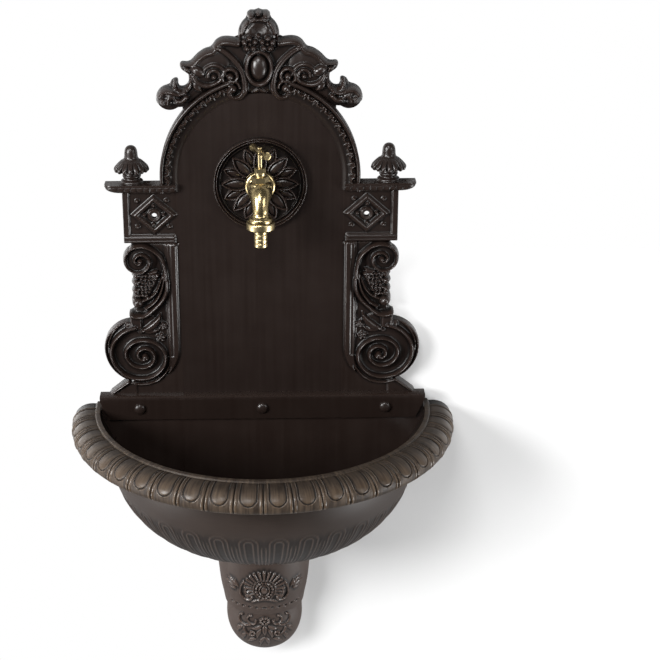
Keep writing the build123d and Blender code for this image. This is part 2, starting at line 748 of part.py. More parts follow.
def corbel():
    """Half-round hollow bracket under the basin, open to the wall, its top plate clamped by the drain."""
    place = Plane(origin=(0, 0, 0), x_dir=(1, 0, 0), z_dir=(0, -1, 0))
    axis = Axis((0, 0, 0), (0, 0, -1))
    shell = revolve(place * corbel_profile(0, corbel_top_z), axis, 180)
    shell -= revolve(place * corbel_profile(corbel_wall, corbel_top_z - corbel_top_wall), axis, 180)
    low = corbel_top_z - corbel_top_wall - 1
    return shell - post(drain_depth, drain_thread_r + drain_clearance, low, corbel_top_z + 1)


def drain_gasket():
    """Flat ring between the drain flange and the basin floor."""
    z = drain_floor_z
    return post(drain_depth, drain_flange_r, z, z + drain_gasket_thickness) - post(
        drain_depth, drain_thread_r + drain_clearance, z - 1, z + drain_gasket_thickness + 1)


def drain_fitting():
    """Flanged drain with a slotted grid at the top and a threaded pipe below."""
    seat = drain_floor_z + drain_gasket_thickness
    top = seat + drain_flange_thickness
    pipe = post(drain_depth, drain_thread_r, seat - drain_length, seat)
    pipe += post(drain_depth, drain_flange_r, seat, top)
    pipe -= post(drain_depth, drain_bore_r, seat - drain_length - 1, top - drain_flange_thickness / 2)
    groove_top = corbel_top_z - corbel_top_wall - drain_nut_thickness - 1
    pipe -= post(drain_depth, drain_thread_r + 1, groove_top - relief_groove, groove_top) - post(
        drain_depth, drain_thread_r - relief_groove_drop, groove_top - relief_groove, groove_top)
    slot = Pos(0, -drain_depth, top) * Box(1.6 * drain_bore_r, drain_slot_width, 4 * drain_flange_thickness)
    pitch = 2 * drain_slot_width
    return pipe - [Pos(0, (k - (drain_slots - 1) / 2) * pitch, 0) * slot for k in range(drain_slots)]


def drain_locknut():
    """Nut on the drain that pulls the corbel's top plate up against the basin."""
    top = corbel_top_z - corbel_top_wall
    nut = hexagon_post(drain_depth, drain_nut_across_flats, top - drain_nut_thickness, top)
    return nut - post(drain_depth, drain_thread_r + thread_clearance, top - drain_nut_thickness - 1, top + 1)


def flange_bolts():
    """Three dome-headed bolts through the plate's flange and the basin's back wall."""
    head = dome(0, bolt_z, bolt_head_r, flange_front_depth, flange_front_depth + bolt_head_height)
    bolt = head + rod(0, bolt_z, bolt_r, bolt_end_depth, flange_front_depth)
    return [Pos(x, 0, 0) * bolt for x in bolt_places()]


def flange_washers():
    """Washers on the flange bolts, behind the basin's back wall."""
    ring = rod(0, bolt_z, washer_r, back_wall_rear_depth - washer_thickness, back_wall_rear_depth)
    ring -= rod(0, bolt_z, bolt_r + bolt_clearance, 0, back_wall_rear_depth + 1)
    return [Pos(x, 0, 0) * ring for x in bolt_places()]


def flange_nuts():
    """Nuts on the flange bolts, against the washers."""
    front = back_wall_rear_depth - washer_thickness
    blank = Pos(0, bolt_z) * RegularPolygon(nut_across_flats / 2, 6, major_radius=False)
    nut = relief(blank, front - nut_thickness, front)
    nut -= rod(0, bolt_z, bolt_r + thread_clearance, 0, front + 1)
    return [Pos(x, 0, 0) * nut for x in bolt_places()]


def petal(tip_r, root_r, width, back, front):
    """Pointed petal along +Z, two arcs that meet at its root and tip, hollowed beside a middle rib."""
    middle = (tip_r + root_r) / 2
    leaf = make_face([ThreePointArc((0, root_r), (width / 2, middle), (0, tip_r)),
                      ThreePointArc((0, tip_r), (-width / 2, middle), (0, root_r))])
    inner = width / 2 - petal_edge
    groove = make_face([ThreePointArc((0, root_r + 4), (inner, middle), (0, tip_r - 5)),
                        ThreePointArc((0, tip_r - 5), (-inner, middle), (0, root_r + 4))])
    rib = rectangle(-0.8, root_r + 3, 0.8, tip_r - 8)
    return relief(leaf, back, front) - relief(groove - rib, front - 2, front + 1)


def tap_rosette():
    """Round rosette under the tap's collar: two rings round sixteen petals, eight of them set behind."""
    back = field_depth
    face = rosette_face_depth
    rim = face + rosette_ring_rise
    inner = rosette_r - rosette_ring_width - rosette_ring_gap
    plate = rod(0, 0, rosette_r, back, face)
    plate += relief(disc(0, 0, rosette_r) - disc(0, 0, rosette_r - rosette_ring_width), back, rim, 0)
    plate += relief(disc(0, 0, inner) - disc(0, 0, inner - rosette_ring_width / 2), back, rim - 2)
    step = 360 / rosette_petals
    low = petal(petal_tip_r - 2, rosette_boss_r - 6, petal_width, back, face + petal_rise - 2)
    high = petal(petal_tip_r, rosette_boss_r - 8, petal_width, back, face + petal_rise)
    plate += [Rot(0, step * (k + 0.5), 0) * low for k in range(rosette_petals)]
    plate += [Rot(0, step * k, 0) * high for k in range(rosette_petals)]
    plate += rod(0, 0, rosette_boss_r, back, collar_back_depth)
    return Pos(0, 0, tap_z) * (plate - rod(0, 0, inlet_r + inlet_clearance, back - 1, collar_back_depth + 1))


def along(depth, z):
    """Point in the tap's middle plane."""
    return (0, -depth, z)


def bent_pipe(start_depth, start_z, bend_r, r, end_z):
    """Round bar that leaves level, bends down to the spout's line and runs down to a height."""
    bend_depth = spout_depth - bend_r
    corner = bend_r * (1 - cos(pi / 4))
    level = Line(along(start_depth, start_z), along(bend_depth, start_z))
    bend = ThreePointArc(along(bend_depth, start_z), along(spout_depth - corner, start_z - corner),
                         along(spout_depth, start_z - bend_r))
    drop = Line(along(spout_depth, start_z - bend_r), along(spout_depth, end_z))
    return sweep(facing(start_depth) * Pos(0, start_z) * Circle(r), Wire([level, bend, drop]))


def tap_body():
    """Tap body: threaded inlet, collar, globe with the valve seat, bonnet boss, bent spout and outlet."""
    thread_top = outlet_z + outlet_thread_length
    outside = rod(0, tap_z, inlet_r, -inlet_reach, collar_back_depth)
    outside -= rod(0, tap_z, inlet_r + 1, 0, relief_groove) - rod(
        0, tap_z, inlet_r - relief_groove_drop, 0, relief_groove)
    collar = rod(0, tap_z, collar_r, collar_back_depth, collar_back_depth + collar_thickness)
    outside += fillet(collar.edges(), collar_thickness / 4)
    outside += rod(0, tap_z, tap_neck_r, collar_back_depth, bonnet_depth)
    outside += Pos(0, -globe_depth, globe_z) * Sphere(globe_r)
    outside += post(bonnet_depth, bonnet_boss_r, tap_z, bonnet_seat_z)
    outside += bent_pipe(bonnet_depth, globe_z, spout_bend_r, spout_r, thread_top)
    flare = polygon((0, outlet_z), (outlet_thread_r, outlet_z), (outlet_thread_r, thread_top),
                    (spout_r, thread_top + outlet_flare), (0, thread_top + outlet_flare))
    outside += turned_upright(flare, spout_depth)
    inside = [rod(0, tap_z, inlet_bore_r, -inlet_reach - 1, bonnet_depth),
              post(bonnet_depth, lower_chamber_r, tap_z - lower_chamber_r, seat_z - seat_thickness),
              post(bonnet_depth, seat_bore_r, seat_z - 2 * seat_thickness, seat_z + 1),
              post(bonnet_depth, upper_chamber_r, seat_z, bonnet_seat_z + 1),
              post(bonnet_depth, bonnet_boss_r, bonnet_seat_z, bonnet_seat_z + globe_r),
              bent_pipe(bonnet_depth + upper_chamber_r - 1.5, seat_z - 0.5, spout_bore_bend_r, spout_bore_r,
                        outlet_z - 1)]
    return outside - inside


def tap_bonnet():
    """Bonnet: spigot in the body, hexagon, neck, and the bore for the spindle with the packing recess."""
    spigot_z = bonnet_seat_z - bonnet_spigot
    hex_top = bonnet_seat_z + hex_height
    body = hexagon_post(bonnet_depth, hex_across_flats, bonnet_seat_z, hex_top)
    body += post(bonnet_depth, upper_chamber_r - thread_clearance, spigot_z, bonnet_seat_z)
    body += post(bonnet_depth, bonnet_neck_r, hex_top, bonnet_top_z)
    chamber_top = jumper_top_z + valve_lift + 2 * closed_gap
    bores = [post(bonnet_depth, jumper_r + jumper_clearance, spigot_z - 1, chamber_top),
             post(bonnet_depth, spindle_thread_r + running_clearance, spigot_z, bonnet_top_z + 1)]
    return body - bores


def gland_packing():
    """Packing ring round the spindle's stem at the top of the bonnet's bore."""
    low = bonnet_top_z - packing_height
    return post(bonnet_depth, spindle_thread_r + running_clearance, low, bonnet_top_z) - post(
        bonnet_depth, spindle_stem_r + running_clearance, low - 1, bonnet_top_z + 1)


def gland_nut():
    """Nut on top of the bonnet that holds the packing down."""
    nut = hexagon_post(bonnet_depth, gland_across_flats, bonnet_top_z, gland_top_z)
    return nut - post(bonnet_depth, spindle_stem_r + thread_clearance, bonnet_top_z - 1, gland_top_z + 1)


def tap_spindle():
    """Spindle: threaded foot bored for the jumper's stem, and a plain stem up to the handle."""
    thread_top = spindle_bottom_z + spindle_thread_length
    stem_top = handle_z + handle_hub_r
    body = post(bonnet_depth, spindle_thread_r, spindle_bottom_z, thread_top)
    body += post(bonnet_depth, spindle_stem_r, thread_top, stem_top)
    return body - post(bonnet_depth, jumper_stem_r + jumper_clearance, spindle_bottom_z - 1,
                       jumper_top_z + jumper_stem_length + jumper_clearance)


def tee_handle():
    """Tee bar: two arms that swell to flat round ends, a hub on the stem and a domed cap over it."""
    arm = polygon((0, 0), (handle_arm_r, 0), (handle_arm_r, handle_reach * 0.55),
                  (handle_end_r, handle_reach - 3), (handle_end_r, handle_reach), (0, handle_reach))
    solid = revolve(Plane.XY * arm, Axis.Y, 360)
    bar = solid + mirror(solid, Plane.XZ)
    bar = Rot(0, 0, handle_turn - 90) * bar
    hub = Pos(0, 0, -handle_hub_r) * extrude(Circle(handle_hub_r), 2 * handle_hub_r)
    cap = Pos(0, 0, handle_hub_r) * (Sphere(handle_hub_r * 0.8) & Pos(0, 0, handle_hub_r) * Box(
        2 * handle_hub_r, 2 * handle_hub_r, 2 * handle_hub_r))
    bore = Pos(0, 0, -handle_hub_r - 1) * extrude(Circle(spindle_stem_r), 2 * handle_hub_r + 1)
    return Pos(*along(bonnet_depth, handle_z)) * ((bar + hub - bore) + cap)


def jumper():
    """Valve disc that the spindle presses down, with a stem that turns freely in the spindle."""
    low = jumper_bottom_z + jumper_washer_thickness
    return post(bonnet_depth, jumper_r, low, jumper_top_z) + post(
        bonnet_depth, jumper_stem_r, jumper_top_z, jumper_top_z + jumper_stem_length)


def jumper_washer():
    """Rubber washer under the jumper that closes on the seat."""
    return post(bonnet_depth, jumper_r, jumper_bottom_z, jumper_bottom_z + jumper_washer_thickness)


def hose_tail_gasket():
    """Flat ring between the outlet thread and the hose tail's flange."""
    low = outlet_z - tail_gasket_thickness
    ring = post(spout_depth, outlet_thread_r - 0.5, low, outlet_z)
    return ring - post(spout_depth, tail_bore_r, low - 1, outlet_z + 1)


def hose_tail():
    """Barbed hose tail with a flange that the union nut traps."""
    flange_z = outlet_z - tail_gasket_thickness - tail_flange_thickness
    length = union_lip + tail_barbs * tail_barb_pitch
    tail = post(spout_depth, outlet_thread_r - 0.5, flange_z, flange_z + tail_flange_thickness)
    tail += post(spout_depth, tail_r, flange_z - length, flange_z)
    for k in range(tail_barbs):
        high = union_bottom_z - k * tail_barb_pitch - 0.6
        low = high - 0.85 * tail_barb_pitch
        barb = polygon((0, high), (tail_barb_r, high), (tail_barb_r, high - 0.8), (tail_r - 0.2, low),
                       (0, low))
        tail += turned_upright(barb, spout_depth)
    return tail - post(spout_depth, tail_bore_r, flange_z - length - 1, flange_z + tail_flange_thickness + 1)


def hose_union_nut():
    """Round union nut on the outlet thread, with an inward lip under the hose tail's flange."""
    top = outlet_z + outlet_thread_length - 1.5
    seat = outlet_z - tail_gasket_thickness - tail_flange_thickness
    nut = post(spout_depth, union_nut_r, union_bottom_z, top)
    nut = chamfer(nut.edges(), 0.8)
    return nut - [post(spout_depth, outlet_thread_r + thread_clearance, seat, top + 1),
                  post(spout_depth, union_bore_r, union_bottom_z - 1, seat + 1)]


def inlet_washer():
    """Washer behind the plate, under the tap's locknut."""
    front = plate_pocket_depth
    return rod(0, tap_z, inlet_washer_r, front - inlet_washer_thickness, front) - rod(
        0, tap_z, inlet_r + thread_clearance, 0, front + 1)


def inlet_locknut():
    """Locknut on the inlet thread that holds tap and rosette to the plate."""
    front = plate_pocket_depth - inlet_washer_thickness
    blank = Pos(0, tap_z) * RegularPolygon(locknut_across_flats / 2, 6, major_radius=False)
    return relief(blank, front - locknut_thickness, front) - rod(
        0, tap_z, inlet_r + thread_clearance, front - locknut_thickness - 1, front + 1)


pieces = {
    "back_plate": back_plate, "left_finial": lambda: finial(-1), "right_finial": lambda: finial(1),
    "basin_bowl": basin_bowl, "corbel": corbel,
    "drain_fitting": drain_fitting, "drain_gasket": drain_gasket, "drain_locknut": drain_locknut,
    "flange_bolts": flange_bolts, "flange_washers": flange_washers, "flange_nuts": flange_nuts,
    "tap_rosette": tap_rosette, "tap_body": tap_body, "tap_bonnet": tap_bonnet,
    "gland_packing": gland_packing, "gland_nut": gland_nut, "tap_spindle": tap_spindle,
    "tee_handle": tee_handle, "jumper": jumper, "jumper_washer": jumper_washer,
    "hose_tail_gasket": hose_tail_gasket, "hose_tail": hose_tail, "hose_union_nut": hose_union_nut,
    "inlet_washer": inlet_washer, "inlet_locknut": inlet_locknut,
}

os.makedirs("parts", exist_ok=True)
for name, make in pieces.items():
    shape = make()
    solids = shape if isinstance(shape, list) else [shape]
    export_step(Compound(children=list(solids)), f"parts/{name}.step")
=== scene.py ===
import bpy
import numpy as np
from mathutils import Matrix, Vector


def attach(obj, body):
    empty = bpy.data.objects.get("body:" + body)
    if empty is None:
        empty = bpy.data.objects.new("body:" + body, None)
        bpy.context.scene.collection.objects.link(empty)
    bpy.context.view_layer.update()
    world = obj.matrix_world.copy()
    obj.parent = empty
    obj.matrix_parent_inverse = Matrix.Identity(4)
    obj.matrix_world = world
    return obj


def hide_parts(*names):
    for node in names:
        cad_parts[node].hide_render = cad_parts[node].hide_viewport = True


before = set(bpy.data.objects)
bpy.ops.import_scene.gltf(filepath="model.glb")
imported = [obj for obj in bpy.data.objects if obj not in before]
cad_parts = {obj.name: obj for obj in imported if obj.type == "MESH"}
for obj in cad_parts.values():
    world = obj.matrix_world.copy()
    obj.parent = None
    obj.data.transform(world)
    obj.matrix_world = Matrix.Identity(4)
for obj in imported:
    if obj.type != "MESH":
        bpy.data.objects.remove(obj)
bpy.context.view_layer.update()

MM = 0.001
PI = np.pi
BURIED = -50
# span for the relief's height over its local mean, which sets rubbed wear and painted highlight and shade
WEAR_AND_SHADE_SPAN = 3.0


# Shapes in millimetres: x to the right, depth out of the wall, z up


def soft_max(a, b, span):
    """Larger of two depths, rounded over a span where they meet."""
    h = np.clip(0.5 + 0.5 * (a - b) / span, 0, 1)
    return b + (a - b) * h + span * h * (1 - h)


def rise(a, b, t):
    """Smooth rise from 0 at a to 1 at b."""
    u = np.clip((t - a) / (b - a), 0, 1)
    return u * u * (3 - 2 * u)


def curve(points, n=12):
    """Smooth path through points: cubic pieces whose slope at each point follows its two neighbours."""
    p = np.array(points, float)
    e = np.vstack([2 * p[0] - p[1], p, 2 * p[-1] - p[-2]])
    t = np.linspace(0, 1, n, endpoint=False)[None, :, None]
    a, b, c, d = (e[i:len(e) - 3 + i, None, :] for i in range(4))
    square = 2 * a - 5 * b + 4 * c - d
    cube = 3 * b - a - 3 * c + d
    q = 0.5 * (2 * b + (c - a) * t + square * t ** 2 + cube * t ** 3)
    return np.vstack([q.reshape(-1, p.shape[1]), p[-1:]])


def scroll(cx, cz, stations, n=14):
    """Spiral round a centre: its radius runs smoothly through (angle in degrees, radius) stations."""
    s = curve(stations, n)
    a = np.radians(s[:, 0])
    return np.column_stack([cx + s[:, 1] * np.cos(a), cz + s[:, 1] * np.sin(a)])


def arc(cx, cz, r, start, end, n=24):
    """Circle arc between two angles in degrees."""
    return scroll(cx, cz, [(a, r) for a in np.linspace(start, end, n)], 1)


def beside(path, x, z, reach):
    """Distance from points to a path, and the share of its length passed there; no farther than reach."""
    lo = path.min(0) - reach
    hi = path.max(0) + reach
    near = (x > lo[0]) & (x < hi[0]) & (z > lo[1]) & (z < hi[1])
    px, pz = x[near], z[near]
    best = np.full(px.shape, float(reach))
    share = np.zeros(px.shape)
    leg = np.diff(path, axis=0)
    size = np.maximum(np.hypot(leg[:, 0], leg[:, 1]), 1e-9)
    run = np.concatenate([[0], np.cumsum(size)])
    for (ax, az), (lx, lz), s, r in zip(path, leg, size, run):
        u = np.clip(((px - ax) * lx + (pz - az) * lz) / s ** 2, 0, 1)
        e = np.hypot(px - ax - u * lx, pz - az - u * lz)
        closer = e < best
        best[closer] = e[closer]
        share[closer] = (r + u[closer] * s) / run[-1]
    distance = np.full(x.shape, float(reach))
    along = np.zeros(x.shape)
    distance[near] = best
    along[near] = share
    return distance, along


def outline(path, x, z):
    """Signed distance to a closed path: negative inside."""
    loop = np.vstack([path, path[:1]])
    distance, _ = beside(loop, x, z, 40)
    inside = np.zeros(x.shape, bool)
    for (ax, az), (bx, bz) in zip(loop[:-1], loop[1:]):
        if az != bz:
            inside ^= ((az > z) != (bz > z)) & (x < (bx - ax) * (z - az) / (bz - az) + ax)
    return np.where(inside, -distance, distance)


def domed(lift, top, foot):
    """Depth between foot and top by a lift of 0 to 1, and nothing where there is no lift."""
    return np.where(lift > 0, foot + (top - foot) * lift, BURIED)


class Relief:
    """Depth over points of the wall plane, raised and cut feature by feature."""

    def __init__(self, x, z, ground):
        self.x, self.z = x, z
        self.depth = np.zeros(x.shape) + ground

    def lift(self, depth, blend):
        """Raises the relief to a depth, rounded over a blend where they meet."""
        self.depth = soft_max(self.depth, depth, blend)

    def rib(self, path, half, top, foot=10, blend=0.7, ends=(1, 1)):
        """Rounded ridge along a path; its width and height scale from one end to the other."""
        d, t = beside(np.asarray(path), self.x, self.z, half * max(ends))
        size = ends[0] + (ends[1] - ends[0]) * t
        lift = np.clip(1 - (d / (half * size)) ** 2, 0, 1) ** 0.65
        h = foot + (top - foot) * lift * size ** 0.5
        self.lift(np.where(lift > 0, h, BURIED), blend)

    def leaf(self, path, half, top, foot=10, vein=0.8, blend=0.6, swell=0.75):
        """Pointed lobe along a path, widest where the swell says, with a sunk vein."""
        d, t = beside(np.asarray(path), self.x, self.z, half)
        w = half * np.sin(PI * np.clip(t, 0.02, 0.98) ** swell)
        lift = np.sqrt(np.clip(1 - (d / w) ** 2, 0, 1))
        h = foot + (top - foot) * lift - vein * np.exp(-(d / 0.7) ** 2) * (lift > 0)
        self.lift(np.where(lift > 0, h, BURIED), blend)

    def bead(self, cx, cz, r, top, foot=10, blend=0.5, tall=1.0, turn=0.0):
        """Rounded button, or an oval one where tall is its height over its width."""
        c, s = np.cos(np.radians(turn)), np.sin(np.radians(turn))
        u = ((self.x - cx) * c + (self.z - cz) * s) / r
        v = ((self.z - cz) * c - (self.x - cx) * s) / (r * tall)
        lift = np.sqrt(np.clip(1 - u * u - v * v, 0, 1))
        self.lift(domed(lift, top, foot), blend)

    def groove(self, path, half, cut):
        """Round-bottomed cut along a path."""
        d, _ = beside(np.asarray(path), self.x, self.z, half)
        self.depth = self.depth - cut * np.clip(1 - (d / half) ** 2, 0, 1)

    def pit(self, cx, cz, r, cut):
        """Soft hollow."""
        q = ((self.x - cx) ** 2 + (self.z - cz) ** 2) / r ** 2
        self.depth = self.depth - cut * np.clip(1 - q, 0, 1) ** 1.5

    def level(self, mask, top, blend=0.8):
        """Flat step: mask is negative inside it, in millimetres from its edge."""
        side = top - np.clip(mask + 0.6, 0, None) * 3
        self.lift(np.where(mask < 6, side, BURIED), blend)


def ridge(u, half, top, foot):
    """Depth of a rounded ridge at a distance u from its line, and nothing beyond its half width."""
    lift = np.sqrt(np.clip(1 - (u / half) ** 2, 0, 1))
    return domed(lift, top, foot)


def blur(a, n):
    """Mean over a square of 2n + 1 steps, by running sums."""
    for axis in (0, 1):
        pad = [(n + 1, n) if k == axis else (0, 0) for k in (0, 1)]
        c = np.cumsum(np.pad(a, pad, mode="edge"), axis=axis)
        size = a.shape[axis]
        high = np.take(c, np.arange(2 * n + 1, 2 * n + 1 + size), axis)
        a = (high - np.take(c, np.arange(size), axis)) / (2 * n + 1)
    return a


def grid_faces(n, m, wrap=False):
    """Quads of a grid with n rows of m points; wrap joins the last row to the first."""
    i, j = np.meshgrid(np.arange(n if wrap else n - 1), np.arange(m - 1), indexing="ij")
    k = (i + 1) % n
    return np.stack([i * m + j, k * m + j, k * m + j + 1, i * m + j + 1], -1).reshape(-1, 4)


def onto(edge, x, z):
    """Points slid onto an outline along the slope of its distance."""
    h = 0.05
    for _ in range(4):
        gx = (edge(x + h, z) - edge(x - h, z)) / (2 * h)
        gz = (edge(x, z + h) - edge(x, z - h)) / (2 * h)
        g = np.maximum(gx * gx + gz * gz, 0.25)
        e = edge(x, z)
        x, z = x - e * gx / g, z - e * gz / g
    return x, z


def borders(cell, index, open_sides):
    """Pairs of points along the outer sides of the kept cells, apart from the sides left open."""
    pad = np.pad(cell, 1)
    for side, line in (("l", np.s_[:, 0]), ("r", np.s_[:, -1]), ("b", np.s_[0]), ("t", np.s_[-1])):
        if side in open_sides:
            pad[line] = True
    pairs = []
    below, above = (-1, 0, (0, 0), (0, 1)), (1, 0, (1, 1), (1, 0))
    left, right = (0, -1, (1, 0), (0, 0)), (0, 1, (0, 1), (1, 1))
    for di, dj, a, b in (below, above, left, right):
        lone = cell & ~pad[1 + di:1 + di + cell.shape[0], 1 + dj:1 + dj + cell.shape[1]]
        i, j = np.nonzero(lone)
        pairs.append(np.stack([index[i + a[0], j + a[1]], index[i + b[0], j + b[1]]], -1))
    return np.vstack(pairs)


def sheet(box, step, edge, depth, back=0.0, roll=2.5, open_sides=""):
    """Relief sheet over a grid, trimmed to an outline.

    Cells that touch the outline's inside stay. Their outer corners slide onto the outline,
    the face rolls off there, and the rim drops straight back towards the wall.
    """
    x0, x1, z0, z1 = box
    xs = np.linspace(x0, x1, int(round((x1 - x0) / step)) + 1)
    zs = np.linspace(z0, z1, int(round((z1 - z0) / step)) + 1)
    x, z = np.meshgrid(xs, zs)
    s = edge(x, z)
    inside = s < 0
    cell = inside[:-1, :-1] | inside[1:, :-1] | inside[:-1, 1:] | inside[1:, 1:]
    used = np.zeros(x.shape, bool)
    for a in (slice(None, -1), slice(1, None)):
        for b in (slice(None, -1), slice(1, None)):
            used[a, b] |= cell
    out = used & ~inside
    x[out], z[out] = onto(edge, x[out], z[out])
    s[out] = 0
    d = depth(x, z)
    if step < 1:
        d = blur(d, 1)
    if roll:
        near = roll + np.clip(s, -roll, 0)
        fall = roll - np.sqrt(np.clip(roll ** 2 - near ** 2, 0, None))
        d = d - np.where(s > -roll, fall, 0)
    # height over the local mean: lighter ridges and darker hollows in the paint, partly rubbed wear and
    # partly painted highlight and painted shade
    wear_and_shade = d - blur(d, max(1, int(round(WEAR_AND_SHADE_SPAN / step))))
    index = np.full(x.shape, -1)
    index[used] = np.arange(used.sum())
    i, j = np.nonzero(cell)
    faces = np.stack([index[i, j], index[i, j + 1], index[i + 1, j + 1], index[i + 1, j]], -1)
    points = np.column_stack([x[used], d[used], z[used]])
    tone = wear_and_shade[used]
    pairs = borders(cell, index, open_sides)
    if len(pairs):
        rim, where = np.unique(pairs, return_inverse=True)
        where = where.reshape(pairs.shape)
        low = points[rim].copy()
        low[:, 1] = back(low[:, 0], low[:, 2]) if callable(back) else back
        first = len(points)
        points = np.vstack([points, low])
        tone = np.concatenate([tone, tone[rim]])
        walls = np.stack([pairs[:, 1], pairs[:, 0], first + where[:, 0], first + where[:, 1]], -1)
        faces = np.vstack([faces, walls])
    return points, faces, tone


def mirrored(part):
    """A part and its mirror image across the middle, as one."""
    points, faces, tone = part
    other = points * [-1, 1, 1]
    return (np.vstack([points, other]), np.vstack([faces, faces[:, ::-1] + len(points)]),
            np.concatenate([tone, tone]))


def joined(*parts):
    """Several parts as one."""
    first = np.cumsum([0] + [len(p[0]) for p in parts])
    return (np.vstack([p[0] for p in parts]), np.vstack([p[1] + k for p, k in zip(parts, first)]),
            np.concatenate([p[2] for p in parts]))


def shell(grid, tone=None, wrap=False, caps=""):
    """Part from a grid of points, its faces turned outwards; caps close its first or last column."""
    n, m = grid.shape[:2]
    points = grid.reshape(-1, 3)
    faces = grid_faces(n, m, wrap)
    tone = np.zeros(n * m) if tone is None else np.broadcast_to(tone, (n, m)).reshape(-1)
    for side, column in (("a", 0), ("b", m - 1)):
        if side in caps:
            rim = np.arange(n) * m + column
            hub = len(points)
            points = np.vstack([points, points[rim].mean(0)])
            tone = np.append(tone, tone[rim].mean())
            nxt = np.roll(rim, -1)
            if side == "a":
                rim, nxt = nxt, rim
            fan = np.stack([rim, nxt, np.full(n, hub), np.full(n, hub)], -1)
            faces = np.vstack([faces, fan])
    c = points.mean(0)
    a, b, d = (points[faces[:, k]] - c for k in (0, 1, 2))
    e = points[faces[:, 3]] - c
    solid = (np.cross(a, b) * d).sum() + (np.cross(a, d) * e).sum()
    return points, faces if solid < 0 else faces[:, ::-1], tone


def turned(profile, centre, axis="z", n=72, lobes=None):
    """Part from a profile of (radius, height) turned round an axis; lobes may change each radius."""
    p = np.asarray(profile, float)
    a = np.linspace(0, 2 * PI, n, endpoint=False)[:, None]
    r = p[None, :, 0] * np.ones_like(a)
    if lobes is not None:
        r = lobes(r, p[None, :, 1], a)
    h = p[None, :, 1] * np.ones_like(a)
    x0, d0, z0 = centre
    if axis == "z":
        g = np.stack([x0 + r * np.cos(a), d0 + r * np.sin(a), z0 + h], -1)
    else:
        g = np.stack([x0 + r * np.cos(a), d0 + h, z0 + r * np.sin(a)], -1)
    return shell(g, wrap=True, caps="ab")


def tube(path, radii, n):
    """Round section carried along a path of (depth, z) at the middle, with its radius at each point."""
    p = np.asarray(path)
    t = np.gradient(p, axis=0)
    t /= np.hypot(t[:, 0], t[:, 1])[:, None]
    a = np.linspace(0, 2 * PI, n, endpoint=False)[:, None]
    r = np.asarray(radii)[None, :]
    x = r * np.cos(a)
    d = p[None, :, 0] - t[None, :, 1] * r * np.sin(a)
    z = p[None, :, 1] + t[None, :, 0] * r * np.sin(a)
    return shell(np.stack([x, d, z], -1), wrap=True, caps="ab")


def flat(depth):
    """Even depth over a sheet."""
    return lambda x, z: np.full(x.shape, depth)


def inward(part):
    """Part with its faces turned the other way."""
    points, faces, tone = part
    return points, faces[:, ::-1], tone


def facing(part, sign, above=-np.inf):
    """Part turned so that its faces above a height look up (1) or down (-1)."""
    points, faces, _ = part
    a, b, c = (points[faces[:, k]] for k in (0, 1, 2))
    # depth runs against the frame's Y, so a face that looks up has a negative product here
    up = -np.cross(b - a, c - a)[a[:, 2] > above, 2].sum()
    return part if up * sign > 0 else inward(part)


# Materials


class Flow:
    """Output of a shader node; arithmetic on it adds math nodes to its tree."""

    def __init__(self, tree, socket):
        self.tree, self.socket = tree, socket

    def math(self, kind, other, swap=False):
        """Sum, difference or product with another output or a number."""
        pair = (other, self) if swap else (self, other)
        return node(self.tree, "ShaderNodeMath", {"operation": kind}, {0: pair[0], 1: pair[1]})

    def __add__(self, other):
        return self.math("ADD", other)

    def __sub__(self, other):
        return self.math("SUBTRACT", other)

    def __rsub__(self, other):
        return self.math("SUBTRACT", other, True)

    def __mul__(self, other):
        return self.math("MULTIPLY", other)

    def clamp(self):
        """Held between 0 and 1."""
        return node(self.tree, "ShaderNodeClamp", {}, {"Value": self, "Min": 0.0, "Max": 1.0})

    __radd__ = __add__
    __rmul__ = __mul__


def node(tree, kind, settings, sockets, output=0):
    """Adds a node, sets its options, feeds its sockets from values or outputs, and gives one output."""
    made = tree.nodes.new(kind)
    for key, value in settings.items():
        setattr(made, key, value)
    for key, value in sockets.items():
        if isinstance(value, Flow):
            tree.links.new(value.socket, made.inputs[key])
        else:
            made.inputs[key].default_value = value
    return Flow(tree, made.outputs[output])


def blank(name):
    """New material with an empty node tree and its output."""
    material = bpy.data.materials.new(name)
    material.use_nodes = True
    tree = material.node_tree
    tree.nodes.clear()
    return material, tree, tree.nodes.new("ShaderNodeOutputMaterial")


def surface(tree, out, sockets):
    """Principled surface into the output."""
    made = node(tree, "ShaderNodeBsdfPrincipled", {}, sockets)
    tree.links.new(made.socket, out.inputs["Surface"])


def noise(tree, place, scale, detail=2.0):
    """Soft random pattern over a place."""
    sockets = {"Vector": place, "Scale": scale, "Detail": detail, "Roughness": 0.5}
    return node(tree, "ShaderNodeTexNoise", {}, sockets)


def mix(tree, share, a, b):
    """Colour between two, by a share."""
    made = tree.nodes.new("ShaderNodeMix")
    made.data_type = "RGBA"
    for socket, value in ((made.inputs[0], share), (made.inputs[6], a), (made.inputs[7], b)):
        if isinstance(value, Flow):
            tree.links.new(value.socket, socket)
        else:
            socket.default_value = value
    return Flow(tree, made.outputs[2])


